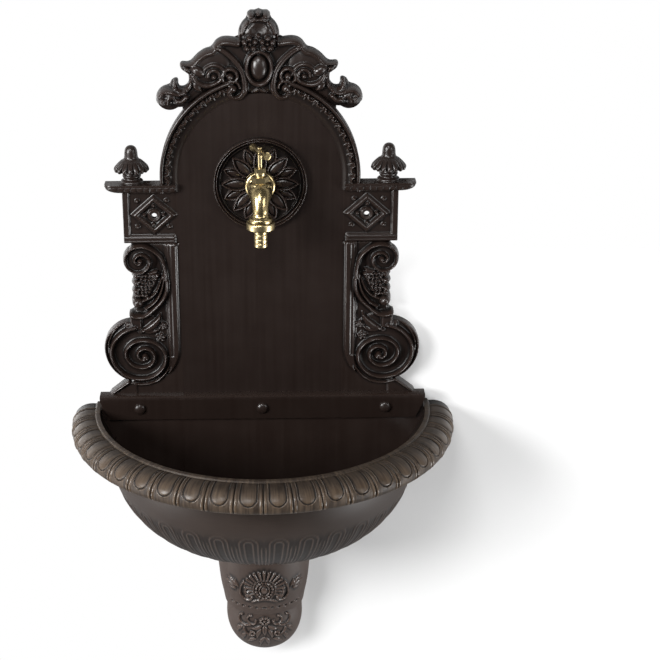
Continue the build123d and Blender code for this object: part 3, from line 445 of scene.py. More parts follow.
def paint(name, dark, light, hollow, rough, specular, polish=0.08, streaks=0.8):
    """Satin cast-metal paint: lighter on ridges and dark in hollows, partly rubbed wear and partly painted
    highlight and painted shade, with faint streaks and a fine grain.
    """
    material, tree, out = blank(name)
    place = node(tree, "ShaderNodeTexCoord", {}, {}, "Object")
    wear_and_shade = node(tree, "ShaderNodeAttribute", {"attribute_name": "wear_and_shade"}, {}, "Fac")
    grain = node(tree, "ShaderNodeAttribute", {"attribute_name": "grain"}, {}, "Vector")
    streak = noise(tree, grain, 1.0, 3.0)
    cloud = noise(tree, place, 34.0, 3.0)
    fine = noise(tree, place, 1150.0, 2.0)
    # ridges mix towards a lighter brown as painted highlight and rubbed wear; hollows mix towards the
    # hollow colour as painted shade
    ridge = (wear_and_shade * 0.55 + (cloud - 0.5) * 0.35).clamp()
    sunk = (wear_and_shade * -0.85 + (cloud - 0.5) * 0.2).clamp()
    tone = mix(tree, ((streak - 0.5) * streaks + 0.35 + (cloud - 0.5) * 0.6).clamp(), dark, light)
    tone = mix(tree, ridge * 0.6, tone, [1.5 * c for c in light[:3]] + [1.0])
    tone = mix(tree, sunk * 0.92, tone, hollow)
    dull = (streak - 0.5) * 0.12 + (cloud - 0.5) * 0.1 + rough - ridge * polish
    height = fine + cloud * 0.6
    bump = node(tree, "ShaderNodeBump", {}, {"Strength": 0.1, "Distance": 0.0004, "Height": height})
    surface(tree, out, {"Base Color": tone, "Roughness": dull, "Specular IOR Level": specular,
                        "Normal": bump})
    return material


def metal(name, colour, deep, rough, fine_scale, bump_strength):
    """Bare metal: slow colour drift, fine wiping marks and a little unevenness."""
    material, tree, out = blank(name)
    place = node(tree, "ShaderNodeTexCoord", {}, {}, "Object")
    cloud = noise(tree, place, 90.0, 3.0)
    fine = noise(tree, place, fine_scale, 2.0)
    tone = mix(tree, (cloud - 0.3).clamp(), colour, deep)
    bump = node(tree, "ShaderNodeBump", {}, {"Strength": bump_strength, "Distance": 0.0002, "Height": fine})
    dull = (fine - 0.5) * 0.1 + cloud * 0.06 + rough
    surface(tree, out, {"Base Color": tone, "Metallic": 1.0, "Roughness": dull, "Normal": bump})
    return material


def plain(name, colour, rough):
    """Soft dark material with a faint mottling."""
    material, tree, out = blank(name)
    place = node(tree, "ShaderNodeTexCoord", {}, {}, "Object")
    cloud = noise(tree, place, 300.0)
    tone = mix(tree, cloud, colour, [0.6 * c for c in colour[:3]] + [1.0])
    surface(tree, out, {"Base Color": tone, "Roughness": cloud * 0.1 + rough})
    return material


# one antique brown paint over the whole casting; the panel, basin and corbel take darker or lighter copies
# of it as painted light and shade for how light falls on each, and the rim's lighter copy is partly painted
# light and partly its worn, streaked finish
brown = paint("antique_brown", (0.0090, 0.0054, 0.0043, 1), (0.0142, 0.0091, 0.0073, 1),
              (0.0028, 0.0019, 0.0016, 1), rough=0.32, specular=0.38)
panel_shaded_brown = paint("panel_shaded_brown", (0.0080, 0.0048, 0.0039, 1), (0.0126, 0.0081, 0.0066, 1),
                    (0.0028, 0.0019, 0.0016, 1), rough=0.42, specular=0.17)
rim_lit_worn_brown = paint("rim_lit_worn_brown", (0.0170, 0.0110, 0.0074, 1), (0.0610, 0.0430, 0.0290, 1),
                  (0.0035, 0.0024, 0.0019, 1), rough=0.56, specular=0.22, polish=0.42, streaks=2.8)
basin_lit_brown = paint("basin_lit_brown", (0.0195, 0.0134, 0.0108, 1), (0.0340, 0.0242, 0.0196, 1),
                    (0.0055, 0.0037, 0.0032, 1), rough=0.50, specular=0.26)
corbel_lit_brown = paint("corbel_lit_brown", (0.0318, 0.0210, 0.0168, 1), (0.0480, 0.0335, 0.0270, 1),
                     (0.0055, 0.0037, 0.0030, 1), rough=0.50, specular=0.34, polish=0.3)
brass = metal("polished_brass", (0.44, 0.345, 0.18, 1), (0.31, 0.235, 0.11, 1), 0.24, 900.0, 0.05)
satin_brass = metal("satin_brass", (0.47, 0.38, 0.21, 1), (0.38, 0.30, 0.16, 1), 0.30, 1600.0, 0.12)
zinc = metal("zinc", (0.55, 0.56, 0.56, 1), (0.42, 0.43, 0.42, 1), 0.32, 700.0, 0.15)
rubber = plain("rubber", (0.012, 0.012, 0.012, 1), 0.6)


def make(name, part, material, slot, nodes, body="fountain", sharp=38, grain=None):
    """Mesh object from a part, with its tone for rubbed wear and painted highlight and shade, grain,
    shading, material and place in the frame.
    """
    points, faces, tone = part
    mesh = bpy.data.meshes.new(name)
    quads = [f[:3] if f[2] == f[3] else f for f in faces.tolist()]
    mesh.from_pydata((points * [MM, -MM, MM]).tolist(), [], quads)
    mesh.attributes.new("wear_and_shade", "FLOAT", "POINT").data.foreach_set("value", tone.astype(np.float32))
    if grain is None:
        grain = points * [0.22, 0.22, 0.006]
    streaks = mesh.attributes.new("grain", "FLOAT_VECTOR", "POINT").data
    streaks.foreach_set("vector", grain.astype(np.float32).ravel())
    mesh.materials.append(material)
    mesh.shade_smooth()
    mesh.set_sharp_from_angle(angle=np.radians(sharp))
    mesh.validate()
    made = bpy.data.objects.new(name, mesh)
    bpy.context.scene.collection.objects.link(made)
    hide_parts(*nodes)
    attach(made, body)


def cast(name, part, nodes, material=brown, **more):
    """Painted casting."""
    make(name, part, material, "antique_brown", nodes, **more)


# Back plate

ARCH_R, ARCH_Z = 114.0, 46.0
FIELD = 13.0
POCKET = 8.4
PANEL_HALF = 94.8
SCREW_X = 122.0
VOLUTE_X, VOLUTE_Z = 144.0, -166.0
COIL_X, COIL_Z = 140.5, -55.5
CORNICE_TOP = 37.5
FINIAL_X, FINIAL_D = 146.5, 7.0
BUD_X, BUD_Z = 101.0, 134.6
HEAD_Z = 205.0
FIFTH_TURN = 1.2566
PLATE = ["back_plate"]

volute_rim = np.vstack([arc(152, VOLUTE_Z, 35.3, 84, 0, 14), arc(VOLUTE_X, VOLUTE_Z, 43.3, 0, -66, 14)[1:]])
side_edge = np.vstack([
    [(80, -33), (150, -33)],
    curve([(150.5, -35), (152, -40), (156.5, -43.5), (160.4, -50), (160, -58), (156, -65), (151, -69)], 5),
    curve([(150, -71), (151.5, -74), (149.6, -78), (152, -83), (149.4, -88), (152, -93), (150.4, -97),
           (152.2, -103), (151.6, -109), (149.6, -114)], 4),
    [(150.5, -118), (155.8, -120.7), (155.2, -131)], volute_rim,
    [(160.6, -206), (182, -223), (186, -230), (80, -230)]])
big_volute = scroll(139.5, -175.5, [(76, 39), (40, 40.2), (10, 39.8), (-35, 34), (-78, 28.8), (-130, 26),
                                    (-179, 25.4), (-225, 22.6), (-266, 21.2), (-310, 22.4), (-348, 22.6),
                                    (-395, 17.6), (-433, 14.2), (-490, 12.2), (-550, 11.8), (-617, 11),
                                    (-689, 8.8), (-760, 5), (-830, 2.5)], 8)
small_volute = np.vstack([
    curve([(154, -121.8), (146, -124.6), (136, -122.6), (124.5, -113), (115.8, -103.5), (110.8, -92),
           (109.8, -78)], 8)[:-1],
    scroll(COIL_X, COIL_Z, [(217, 36.5), (197, 29.8), (178, 26), (150, 21.4), (120, 19.2), (90, 18.2),
                          (50, 18.2), (10, 18), (-35, 17), (-80, 14.6), (-130, 12), (-180, 10.8),
                          (-225, 9.2), (-270, 8), (-320, 6.8), (-365, 6), (-420, 4), (-480, 2)], 8)])
ring_under = curve([(108.9, -150), (108.9, -176), (111, -189), (117, -199.5), (128, -208.5), (144, -212),
                    (158, -209.6)], 8)
grapes = [(120.6 + 4.3 * i + 2.1 * (j % 2) + 0.6 * np.sin(7 * i + 3 * j),
           -73.6 - 4.0 * j + 0.6 * np.sin(5 * i + j))
          for j in range(7) for i in range(6)]
grapes = [(x, z) for x, z in grapes if 117.6 + 0.62 * (-74 - z) < x < 142.5 and z > -98.5]


def side_depth(x, z):
    """Scrolled side: border strip, small volute and C-band, grapes, ball, step, spray and big volute."""
    r = Relief(x, z, 11.0)
    from_volute = np.hypot(x - VOLUTE_X, z - VOLUTE_Z)
    volute = from_volute - 45
    low = (x < 109) | ((z < -176) & (volute > 0))
    r.depth = np.where(low, FIELD, r.depth)
    inside = np.where(z > VOLUTE_Z, x - 98.2, 45.8 - from_volute)
    strip = 4.2 * rise(-1.4, 1.2, inside) - 1.6 * rise(104.2, 105.4, x) * (z > -176)
    r.depth = r.depth + (x < 112) * strip
    r.level(np.where(inside > 0, x - 108.6, 9), 15.8)
    r.rib(ring_under, 1.7, 17.4, 11)
    # hollow of the small volute and the fan between the C-band and the grapes
    r.bead(COIL_X, COIL_Z, 20, 15.0, 10)
    r.level(np.hypot(x - 140, z + 55) - 15, 12.6)
    r.rib(curve([(112.6, -70), (114.4, -84), (118.6, -97), (126, -107.6), (136, -114.6)]), 1.9, 19.6, 11)
    r.rib(curve([(115, -74), (118.4, -84), (122.6, -93), (129.4, -100), (138, -104)]), 2.0, 20.6, 11,
          ends=(0.6, 1))
    r.rib(small_volute, 2.7, 23.4, 11, ends=(1.1, 0.72))
    r.groove(small_volute[8:60], 0.6, 0.7)
    r.bead(140.6, -55, 3.4, 23.6, 12)
    # grapes with their leaves
    r.level(np.hypot((x - 131) / 1.1, z + 85) - 12, 13.0)
    r.leaf(curve([(120.6, -67.6), (127, -70.6), (134, -69.4)]), 3.2, 19.0)
    r.leaf(curve([(119.6, -71.4), (126, -74), (131, -73.4)]), 2.6, 18.2)
    for k, gz in enumerate((-73.5, -82.6, -93)):
        r.bead(145.4 + 0.6 * k, gz, 4.7, 20.4, 10)
        r.groove(curve([(141, gz + 2), (145.4, gz - 0.6), (149.5, gz - 2)]), 0.8, 1.4)
    for gx, gz in grapes:
        r.bead(gx, gz, 2.35, 20.4 - 0.1 * abs(gx - 131), 11)
    r.bead(145, -106.8, 7.2, 24.0, 10)
    r.rib(curve([(131, -101), (137, -98.5), (144, -97.6), (150, -100)]), 1.8, 19, 11)
    # step block
    r.level(np.maximum(np.maximum(142 - x, x - 160), np.maximum(z + 121.4, -140.5 - z)), 18.2)
    r.rib(np.array([(153.6, -122), (153.2, -139)]), 2.0, 20.6, 12)
    r.rib(curve([(136, -123.2), (146, -124), (154.6, -122)]), 2.6, 22.4, 12)
    # leaf spray, berries and flower
    r.leaf(curve([(141, -142), (131.5, -138.8), (123, -130.5), (118.6, -121.6)]), 5.2, 19.4)
    r.leaf(curve([(139, -144), (127, -143.5), (120, -140)]), 3.4, 17.6)
    r.bead(139.6, -142.2, 3.0, 20.4)
    r.bead(143.4, -144.2, 2.2, 19.6)
    for k in range(5):
        a = FIFTH_TURN * k
        r.bead(115.9 + 3.1 * np.cos(a), -137.3 + 3.1 * np.sin(a), 2.0, 16.6)
        r.bead(119.3 + 3.9 * np.cos(a + 0.5), -151.6 + 3.9 * np.sin(a + 0.5), 2.5, 17.2)
    r.bead(115.9, -137.3, 1.6, 17.4)
    r.bead(119.3, -151.6, 2.3, 18.6)
    # big volute: hollow channel between the turns
    r.level(volute + 2.0, 12.6)
    coil, _ = beside(big_volute, x, z, 14)
    r.depth = np.where(volute < -1, soft_max(r.depth, 12.4 + 3.6 * np.exp(-coil / 3.0), 0.6), r.depth)
    r.rib(volute_rim + [-1.5, 0.7], 1.6, 20.0, 11)
    r.rib(volute_rim + [-5.2, 1.6], 1.3, 18.2, 11)
    r.rib(big_volute, 2.9, 23.6, 11.5, ends=(1.0, 0.8))
    r.bead(139, -175.6, 4.0, 23.4, 12)
    r.bead(136.4, -177.4, 2.4, 24.0, 12)
    # slanted lip of the shoulder
    lip = np.array([(159.6, -207.8), (183, -224.6)])
    r.rib(lip, 2.7, 21.5, 8)
    r.level(np.maximum(z + 0.76 * (x - 159) + 209.5, 150 - x), 15.0)
    return np.where(r.depth > FIELD, FIELD + (r.depth - FIELD) * 0.78, r.depth)


side_sheet = sheet((PANEL_HALF, 190, -226, -33), 0.54, lambda x, z: outline(side_edge, x, z), side_depth,
                   open_sides="lbt", roll=5.0)
cast("side_scrolls", mirrored(side_sheet), PLATE, sharp=75)


def block_edge(x, z):
    """Block's outer side, and the screw hole through the lozenge."""
    return np.maximum(x - 158, 3.0 - np.hypot(x - SCREW_X, z))


def block_depth(x, z):
    """Side block: border on three sides, lozenge of double ridges with studs, and a double bar below."""
    r = Relief(x, z, FIELD)
    u, v = np.abs(x - 122.2), np.abs(z - 0.8)
    lozenge = (u / 25.0 + v / 22.2 - 1) * 16.6
    inner = np.maximum(x - 150.8, np.abs(z - 1.6) - 25.4)
    r.level(np.maximum(np.maximum(98.6 - x, np.abs(z + 2.5) - 30.6), -inner), 15.4)
    band = np.maximum(lozenge, -5.0 - lozenge)
    r.lift(np.where(band < 3, 17.4 - 1.5 * np.clip(band + 1.4, 0, None), BURIED), 0.25)
    ring = np.hypot(x - SCREW_X, z)
    r.level(ring - 6.2, 15.6)
    collar = 15.2 + 1.2 * np.sqrt(np.clip(1 - ((ring - 6.4) / 1.1) ** 2, 0, 1))
    r.depth = np.where(np.abs(ring - 6.4) < 1.1, soft_max(r.depth, collar, 0.3), r.depth)
    studs = ((122.6, 12), (122.6, -10.6), (133.4, 0.6), (111.2, 0.6),
             (141, 17.2), (107.6, 17.6), (141.4, -13.6), (104.6, -13.6))
    for sx, sz in studs:
        r.bead(sx, sz, 2.5, 17.6, 11)
    foot_band = np.maximum(np.abs(z + 29.6) - 3.4, 98.6 - x)
    r.level(foot_band, 16.0, 0.5)
    for line in (-26.0, -29.8):
        r.groove(np.array([(98.6, line), (158, line)]), 0.8, 1.1)
    return r.depth


def hole_back(x, z):
    """Depth where a rim ends: at the wall, but only through the casting's own wall round a screw hole."""
    return np.where(np.hypot(np.abs(x) - SCREW_X, z) < 9, 9.4, 0.0)


block_sheet = sheet((PANEL_HALF, 158.6, -33, 29), 0.62, block_edge, block_depth, hole_back,
                    open_sides="lbt", roll=1.2)
cast("side_blocks", mirrored(block_sheet), PLATE)


def cornice():
    """Overhanging moulding: a flat top over a rounded front of tongues, carried round the outer end."""
    v = np.array([(0, 27.4), (0.3, 27.6), (0.55, 28.3), (0.72, 29.2), (0.84, 30.4), (0.92, 31.8),
                  (0.96, 33.2), (0.97, 34.4), (0.945, 34.9), (1.0, 35.1), (1.0, 37.0), (0.985, CORNICE_TOP),
                  (0.4, CORNICE_TOP), (-1.2, CORNICE_TOP)])
    front = np.linspace(96, 150, 150)
    corner = np.linspace(0, 1, 10)[1:]
    side = np.linspace(0, 1, 16)[1:]
    a = corner * PI / 2
    low_x = np.concatenate([front, 150 + 8 * np.sin(a), np.full(15, 158)])
    low_d = np.concatenate([np.full(150, 14.0), 6 + 8 * np.cos(a), 6 * (1 - side)])
    high_x = np.concatenate([96 + (front - 96) * 1.352, 169 + 9 * np.sin(a), np.full(15, 178)])
    high_d = np.concatenate([np.full(150, 21.4), 12.4 + 9 * np.cos(a), 12.4 * (1 - side)])
    p = v[None, :, 0]
    q = np.clip(p, 0, 1)
    x = low_x[:, None] + (high_x - low_x)[:, None] * q
    d = low_d[:, None] + (high_d - low_d)[:, None] * q
    run = x - 96
    phase = np.abs((run / 7.4) % 1 - 0.5) * 2
    fall = (v[None, :, 1] - 27.8) / 6.6
    u_rim = np.sqrt(np.clip(1 - phase ** 2, 0, 1))
    swell = np.sin(PI * np.clip(fall, 0, 1)) ** 0.5
    tongue = np.where((p > 0.2) & (p < 0.975), (1.9 * u_rim ** 0.6 - 1.3) * swell, 0)
    d = d + tongue * (low_d > 13)[:, None]
    d = np.where(p < 0, 0.0, d)
    z = np.broadcast_to(v[None, :, 1], x.shape)
    # painted highlight on the flat top and the tongues' crowns, painted shade between the tongues
    tone = np.where((v[None, :, 1] > 36.5) | (tongue > 0.4), 0.9, np.where(tongue < -0.3, -1.0, 0.0))
    return shell(np.stack([x, np.maximum(d, 0), z], -1), tone)


cast("cornices", mirrored(facing(cornice(), 1, CORNICE_TOP - 0.1)), PLATE)


def arch_band():
    """Arch moulding: outer bead, groove, tongues on a slope, and a cove down to the panel."""
    leg = np.linspace(28, ARCH_Z, 24)[:-1]
    a = np.radians(np.linspace(0, 73, 520))
    rho = np.concatenate([[ARCH_R, ARCH_R], np.linspace(ARCH_R - 0.1, 92, 46)])
    run = np.concatenate([leg - ARCH_Z, a * 106])
    x = np.concatenate([np.tile(rho, (len(leg), 1)), np.cos(a)[:, None] * rho[None, :]])
    z = np.concatenate([np.tile(leg[:, None], (1, len(rho))), ARCH_Z + np.sin(a)[:, None] * rho[None, :]])
    bead = 16 + 4.2 * np.sqrt(np.clip(1 - ((rho - 112) / 2.6) ** 2, 0, 1))
    slope = 15.0 + 2.6 * rise(98.5, 108, rho)
    base = np.where(rho > 109.2, bead, slope)
    base = np.where((rho <= 109.6) & (rho > 108.2), 14.2, base)
    base = np.where(rho < 98.6, FIELD + 2.0 * rise(92, 98.4, rho) ** 1.3, base)
    phase = ((run[:, None] / 12.4) % 1 - 0.5) * 12.4
    reach = np.hypot(phase, rho[None, :] - 108.2) - 4.6
    rim = 2.7 * np.sqrt(np.clip(1 - (reach / 1.25) ** 2, 0, 1))
    cup = -2.0 * rise(0.6, 2.4, -reach)
    leaf = 2.2 * np.exp(-(phase / 0.9) ** 2) * rise(103.6, 106, rho[None, :])
    dart = 2.0 * np.exp(-((np.abs(phase) - 6.2) / 0.8) ** 2) * rise(100, 104, rho[None, :])
    rim = np.maximum(rim, np.maximum(leaf, dart))
    on = (rho[None, :] < 108.2) & (rho[None, :] > 98.4)
    lift = np.where(on, rim + cup, 0)
    d = base[None, :] + lift
    d[:, 0] = 0
    # painted highlight on the tongues' rims, leaves and darts and on the outer bead; painted shade in the
    # cups and over the rest of the band
    carved = 2.4 * (rim - 0.4) * (rim > 0.5) + np.where(rim < 0.2, -0.8, 0)
    bare = np.where(np.abs(rho - 112) < 1.6, 0.6, -0.3)
    tone = np.where(on, carved, bare[None, :])
    points = np.stack([x, d, z], -1)
    n, m = points.shape[:2]
    return points.reshape(-1, 3), grid_faces(n, m), tone.reshape(-1)


cast("arch_band", mirrored(arch_band()), PLATE)


def panel_edge(x, z):
    """Arched field."""
    return np.where(z > ARCH_Z, np.hypot(x, z - ARCH_Z), np.abs(x)) - PANEL_HALF


panel_sheet = sheet((-98, 98, -226, 144), 3.0, panel_edge, flat(FIELD), open_sides="lrbt", roll=0)
cast("panel", panel_sheet, PLATE, panel_shaded_brown)

crest_half = np.vstack([
    curve([(0, 233.4), (3.2, 232.2), (5.4, 231.6), (9, 231.8), (12.2, 229.4), (12.9, 226), (11.6, 222.8),
           (10.4, 221.8)], 5),
    arc(0, HEAD_Z, 22.9, 55, -8, 14),
    curve([(23.4, 201.6), (30, 202.8), (37, 203.2), (43, 202), (48, 198.6), (51.6, 193.8), (54, 191.4)],
          5)[:-1],
    curve([(54, 191.4), (60, 189.8), (66, 186.2), (70, 182.8), (74, 178.6), (77, 176.2), (80.4, 175.3),
           (85, 175.7), (87.6, 174.4), (88.1, 171.6), (86.6, 167.9), (83.4, 165), (80.2, 163.8)], 4)[:-1],
    curve([(78.6, 163.2), (78.3, 158), (79, 153), (81.6, 149.4), (85.2, 147.8), (88.6, 148),
           (90.5, 149.4), (90.4, 153), (91, 156.4), (93.6, 157.2), (97.4, 155.2), (99.6, 151.8),
           (100.6, 149.6)], 4),
    arc(BUD_X, BUD_Z, 14.8, 88, -128, 30),
    arc(0, ARCH_Z, 112.6, 43.5, 70, 12),
    curve([(38, 150.5), (38.8, 145), (37, 139), (32.4, 134.4), (26, 132.4), (19.6, 133.6), (14.6, 137.6),
           (8, 139), (0, 139)], 5)])
crest_edge = np.vstack([crest_half, (crest_half * [-1, 1])[::-1][1:-1]])
s_band = curve([(47.6, 193.2), (40, 189.6), (33, 184.4), (27, 178.6), (22, 172), (18.4, 165), (16.6, 158),
                (15.8, 150), (16.6, 143.4), (19.2, 138.4), (23, 135.4), (27.6, 134.6), (31.6, 136.6),
                (33.6, 140), (33.2, 144.4)], 8)


def crest_depth(x, z):
    """Crest: rolled border, oval cabochon, curled bands, leaf scrolls, flowered head and end buds."""
    side = np.abs(x)
    r = Relief(side, z, 14.0)
    r.depth = np.where(np.hypot(side, z - ARCH_Z) < 113.5, FIELD, r.depth)
    # leaf scroll: a swelling with two arcs over a ball, a smooth drop behind them and a crescent below
    r.bead(58, 169, 28, 18.6, 13, tall=0.66, turn=-33)
    r.rib(arc(50, 161.4, 12.4, 15, 172), 3.3, 21.0, 14)
    r.rib(arc(50, 161.6, 6.6, -5, 188), 2.9, 22.6, 15)
    r.bead(50, 160.8, 3.4, 24.6, 14)
    r.bead(67.4, 167.2, 10.4, 24.6, 12, tall=0.66, turn=28)
    r.rib(curve([(41.6, 158), (46, 153.6), (54, 150.8), (62.4, 151.6), (69, 155.6), (73.4, 161.6)]), 4.5,
          23.4, 13, ends=(0.8, 0.9))
    r.leaf(curve([(73, 154.6), (68.6, 149), (63, 144)]), 4.4, 21.4, 13)
    # inner curl and its ball
    r.rib(scroll(31.8, 160.6, [(-100, 10.6), (-50, 9.6), (0, 9.0), (60, 8.7), (110, 8.4), (165, 7.8),
                               (215, 7.0), (270, 6.2)], 8),
          2.9, 22.4, 14, ends=(1, 0.85))
    r.bead(32, 160.6, 4.3, 24.6, 14)
    r.rib(curve([(44.6, 145.4), (42.4, 141), (38, 138), (34.6, 138.4)]), 1.7, 18.6, 13)
    # neck, hook and bud
    r.rib(curve([(79.4, 168), (76.4, 160), (77.6, 152), (82, 146), (88.6, 143.6), (93.6, 146)]), 4.3, 21.4,
          13, ends=(0.9, 1))
    r.leaf(curve([(86, 142), (91.6, 147.6), (94.4, 157)]), 5.2, 23.0, 12, vein=0.0, swell=0.6)
    r.bead(BUD_X, BUD_Z, 14.8, 25.0, 10)
    r.rib(curve([(82.6, 143.6), (90, 141.4), (98, 144), (106, 144.4), (111.6, 138.6)]), 4.0, 26.6, 14,
          ends=(0.7, 1))
    r.rib(curve([(81.6, 138), (86.4, 133.6), (92.4, 133.6)]), 3.6, 23.6, 14)
    r.rib(curve([(89, 125.6), (95, 123), (102, 124.4), (107, 129.4), (107.6, 136)]), 3.5, 26.8, 14,
          ends=(0.8, 1))
    r.pit(97, 132.4, 5.6, 7.0)
    r.pit(92, 138, 3.0, 2.4)
    r.pit(104, 138.4, 3.4, 2.4)
    # border roll of the shoulder and the arch's rim line
    rim = outline(crest_edge, x, z)
    r.lift(np.where((z > 172) & (side > 20), ridge(rim + 4.2, 4.3, 20.6, 13), BURIED), 0.7)
    r.rib(arc(0, ARCH_Z, 111.4, 42, 70), 2.2, 20.2, 13)
    # curled ribbon with raised edges, and the cabochon
    r.rib(s_band, 3.9, 23.0, 13, ends=(0.8, 1.05))
    r.groove(s_band[6:-6], 1.7, 2.6)
    r.bead(48, 193.3, 3.0, 23.2, 13)
    r.bead(30, 147.4, 5.4, 25.4, 13)
    r.rib(arc(30, 147.2, 8.6, 20, 175), 2.1, 21.8, 13)
    oval = 15.4 * (np.hypot(side / 13.9, (z - 170.4) / 18.7) - 1)
    r.depth = np.where(oval < 2.6, np.minimum(r.depth, 14.0), r.depth)
    r.lift(ridge(oval, 2.7, 23.4, 13), 0.4)
    r.bead(0, 170.4, 10.4, 23.4, 12.5, tall=1.44)
    # head: a globe hollowed below its hood, with two flowers, studs and a topknot
    r.bead(0, HEAD_Z, 22.9, 23.4, 9)
    r.pit(0, 212.5, 10.0, 4.0)
    r.rib(arc(0, 206, 18.0, 8, 80, 24), 3.4, 25.0, 12, ends=(0.8, 1))
    r.pit(9.6, 197.4, 12.5, 5.0)
    for k in range(5):
        a = FIFTH_TURN * k + 0.25
        r.bead(9.6 + 5.9 * np.cos(a), 197.6 + 5.9 * np.sin(a), 4.0, 28.0, 15, blend=0.25)
    r.bead(9.6, 197.6, 2.4, 28.4, 17, blend=0.25)
    r.bead(0, 206.4, 3.0, 27.0, 13)
    r.bead(8.2, 227, 5.0, 26.0, 8)
    r.bead(0, 229.6, 3.7, 25.2, 8)
    r.bead(4.2, 224.4, 2.8, 26.8, 10)
    r.bead(0, 223.6, 2.2, 26.4, 10)
    # small leaf under the cabochon
    r.leaf(curve([(0, 147), (4, 143), (10, 141.6)]), 2.2, 16.0, 11)
    return np.where(r.depth > 14, 14 + (r.depth - 14) * 0.8, r.depth)


crest_sheet = sheet((-116, 116, 131, 235), 0.46, lambda x, z: outline(crest_edge, x, z), crest_depth,
                    roll=9.0)
cast("crest", crest_sheet, PLATE, sharp=75)


def foot():
    """Foot of the plate: a ledge and the flange that hangs into the basin, tapered to its lower corners."""
    p = np.array([(9, -223.4), (13, -223.4), (24.0, -223.6), (24.9, -224.2), (25.2, -225.4),
                  (25.2, -229.2), (24.9, -230), (25, -252.6), (24.4, -254), (21, -254), (20.6, -252),
                  (20.6, -231.4), (9, -231)])
    p = np.vstack([p, p[:1]])
    t = np.linspace(-1, 1, 161)[:, None]
    half = 194.7 - 10.7 * rise(-230, -254, p[None, :, 1])
    x = t * half
    g = np.stack([x, np.broadcast_to(p[None, :, 0], x.shape), np.broadcast_to(p[None, :, 1], x.shape)], -1)
    # painted highlight along the ledge's upper edge
    tone = np.where(np.abs(p[:, 1] + 224) < 0.9, 1.2, 0.0)
    return shell(g, np.broadcast_to(tone[None, :], x.shape))


cast("foot", foot(), PLATE)


def plate_edge(x, z):
    """Outline of the whole back plate, with its two screw holes."""
    side = np.abs(x)
    d = np.minimum(outline(crest_edge, x, z), outline(side_edge, side, z))
    d = np.minimum(d, np.maximum(np.where(z > ARCH_Z, np.hypot(x, z - ARCH_Z), side) - 113.6, -230 - z))
    d = np.minimum(d, np.maximum(side - 157.6, np.abs(z + 2) - 31))
    d = np.minimum(d, np.maximum(side - 176, np.abs(z - 32.4) - 4.6))
    return np.maximum(d, 7.0 - np.hypot(side - SCREW_X, z + 2))


def near_screw(x, z):
    """Places round the screw holes, where the pocket runs out to the hole."""
    return np.hypot(np.abs(x) - SCREW_X, z) < 16


def plate_back(x, z):
    """Hollow back: a flat rim on the wall, and a pocket inside it that the screw holes open into."""
    return POCKET * rise(6, 9, -plate_edge(x, z) + 9 * near_screw(x, z))


back = sheet((-190, 190, -231, 235), 2.4, plate_edge, plate_back,
             lambda x, z: np.where(near_screw(x, z), POCKET, 0.0), roll=0)
cast("plate_back", inward(back), PLATE)


def finial(x0):
    """Finial: foot ring, swollen neck, drooping skirt of sixteen lobes and a stubby rounded top."""
    p = curve([(0.01, 0), (11.8, 0.1), (12.7, 0.9), (12.8, 2.2), (12.0, 3.4), (10.0, 4.6), (9.4, 6.0),
               (10.4, 7.4), (10.6, 9.2), (9.6, 10.8), (9.4, 13.4), (10.4, 15.8), (13.2, 16.2), (17, 15.0),
               (19.4, 15.7), (20.2, 17.6), (19.6, 20.0), (17.2, 22.8), (13.4, 25.4), (9.8, 27.4),
               (8.1, 29.6), (7.6, 32.2), (7.4, 35.4), (6.8, 38.8), (5.2, 41.7), (2.8, 43.3),
               (0.01, 43.8)], 5)

    def lobes(r, h, a):
        """Radius drawn in between the lobes of the skirt."""
        share = rise(14.0, 16, h) * (1 - rise(22, 28.5, h)) * rise(10.6, 14.5, r)
        return r * (1 + share * 0.2 * (np.abs(np.cos(8 * a)) ** 0.6 - 1))

    points, faces, tone = turned(p, (x0, FINIAL_D, CORNICE_TOP), "z", 320, lobes)
    reach = np.hypot(points[:, 0] - x0, points[:, 1] - FINIAL_D)
    turn = np.arctan2(points[:, 1] - FINIAL_D, points[:, 0] - x0)
    high = points[:, 2] - CORNICE_TOP
    skirt = rise(11, 18.6, reach) * (high > 13.5) * (high < 26)
    points[:, 2] -= skirt * (2.6 * np.abs(np.cos(8 * turn)) ** 0.7 - 1.0)
    # painted highlight on the skirt's lobes, painted shade between them
    tone = skirt * (2.2 * np.abs(np.cos(8 * turn)) - 1.4)
    points[:, 1] = np.maximum(points[:, 1], 0.3)
    return points, faces, tone


for side, x0 in (("left", -FINIAL_X), ("right", FINIAL_X)):
    cast("finial_" + side, finial(x0), [side + "_finial"])


# Tap rosette

TAP_Z = 37.0


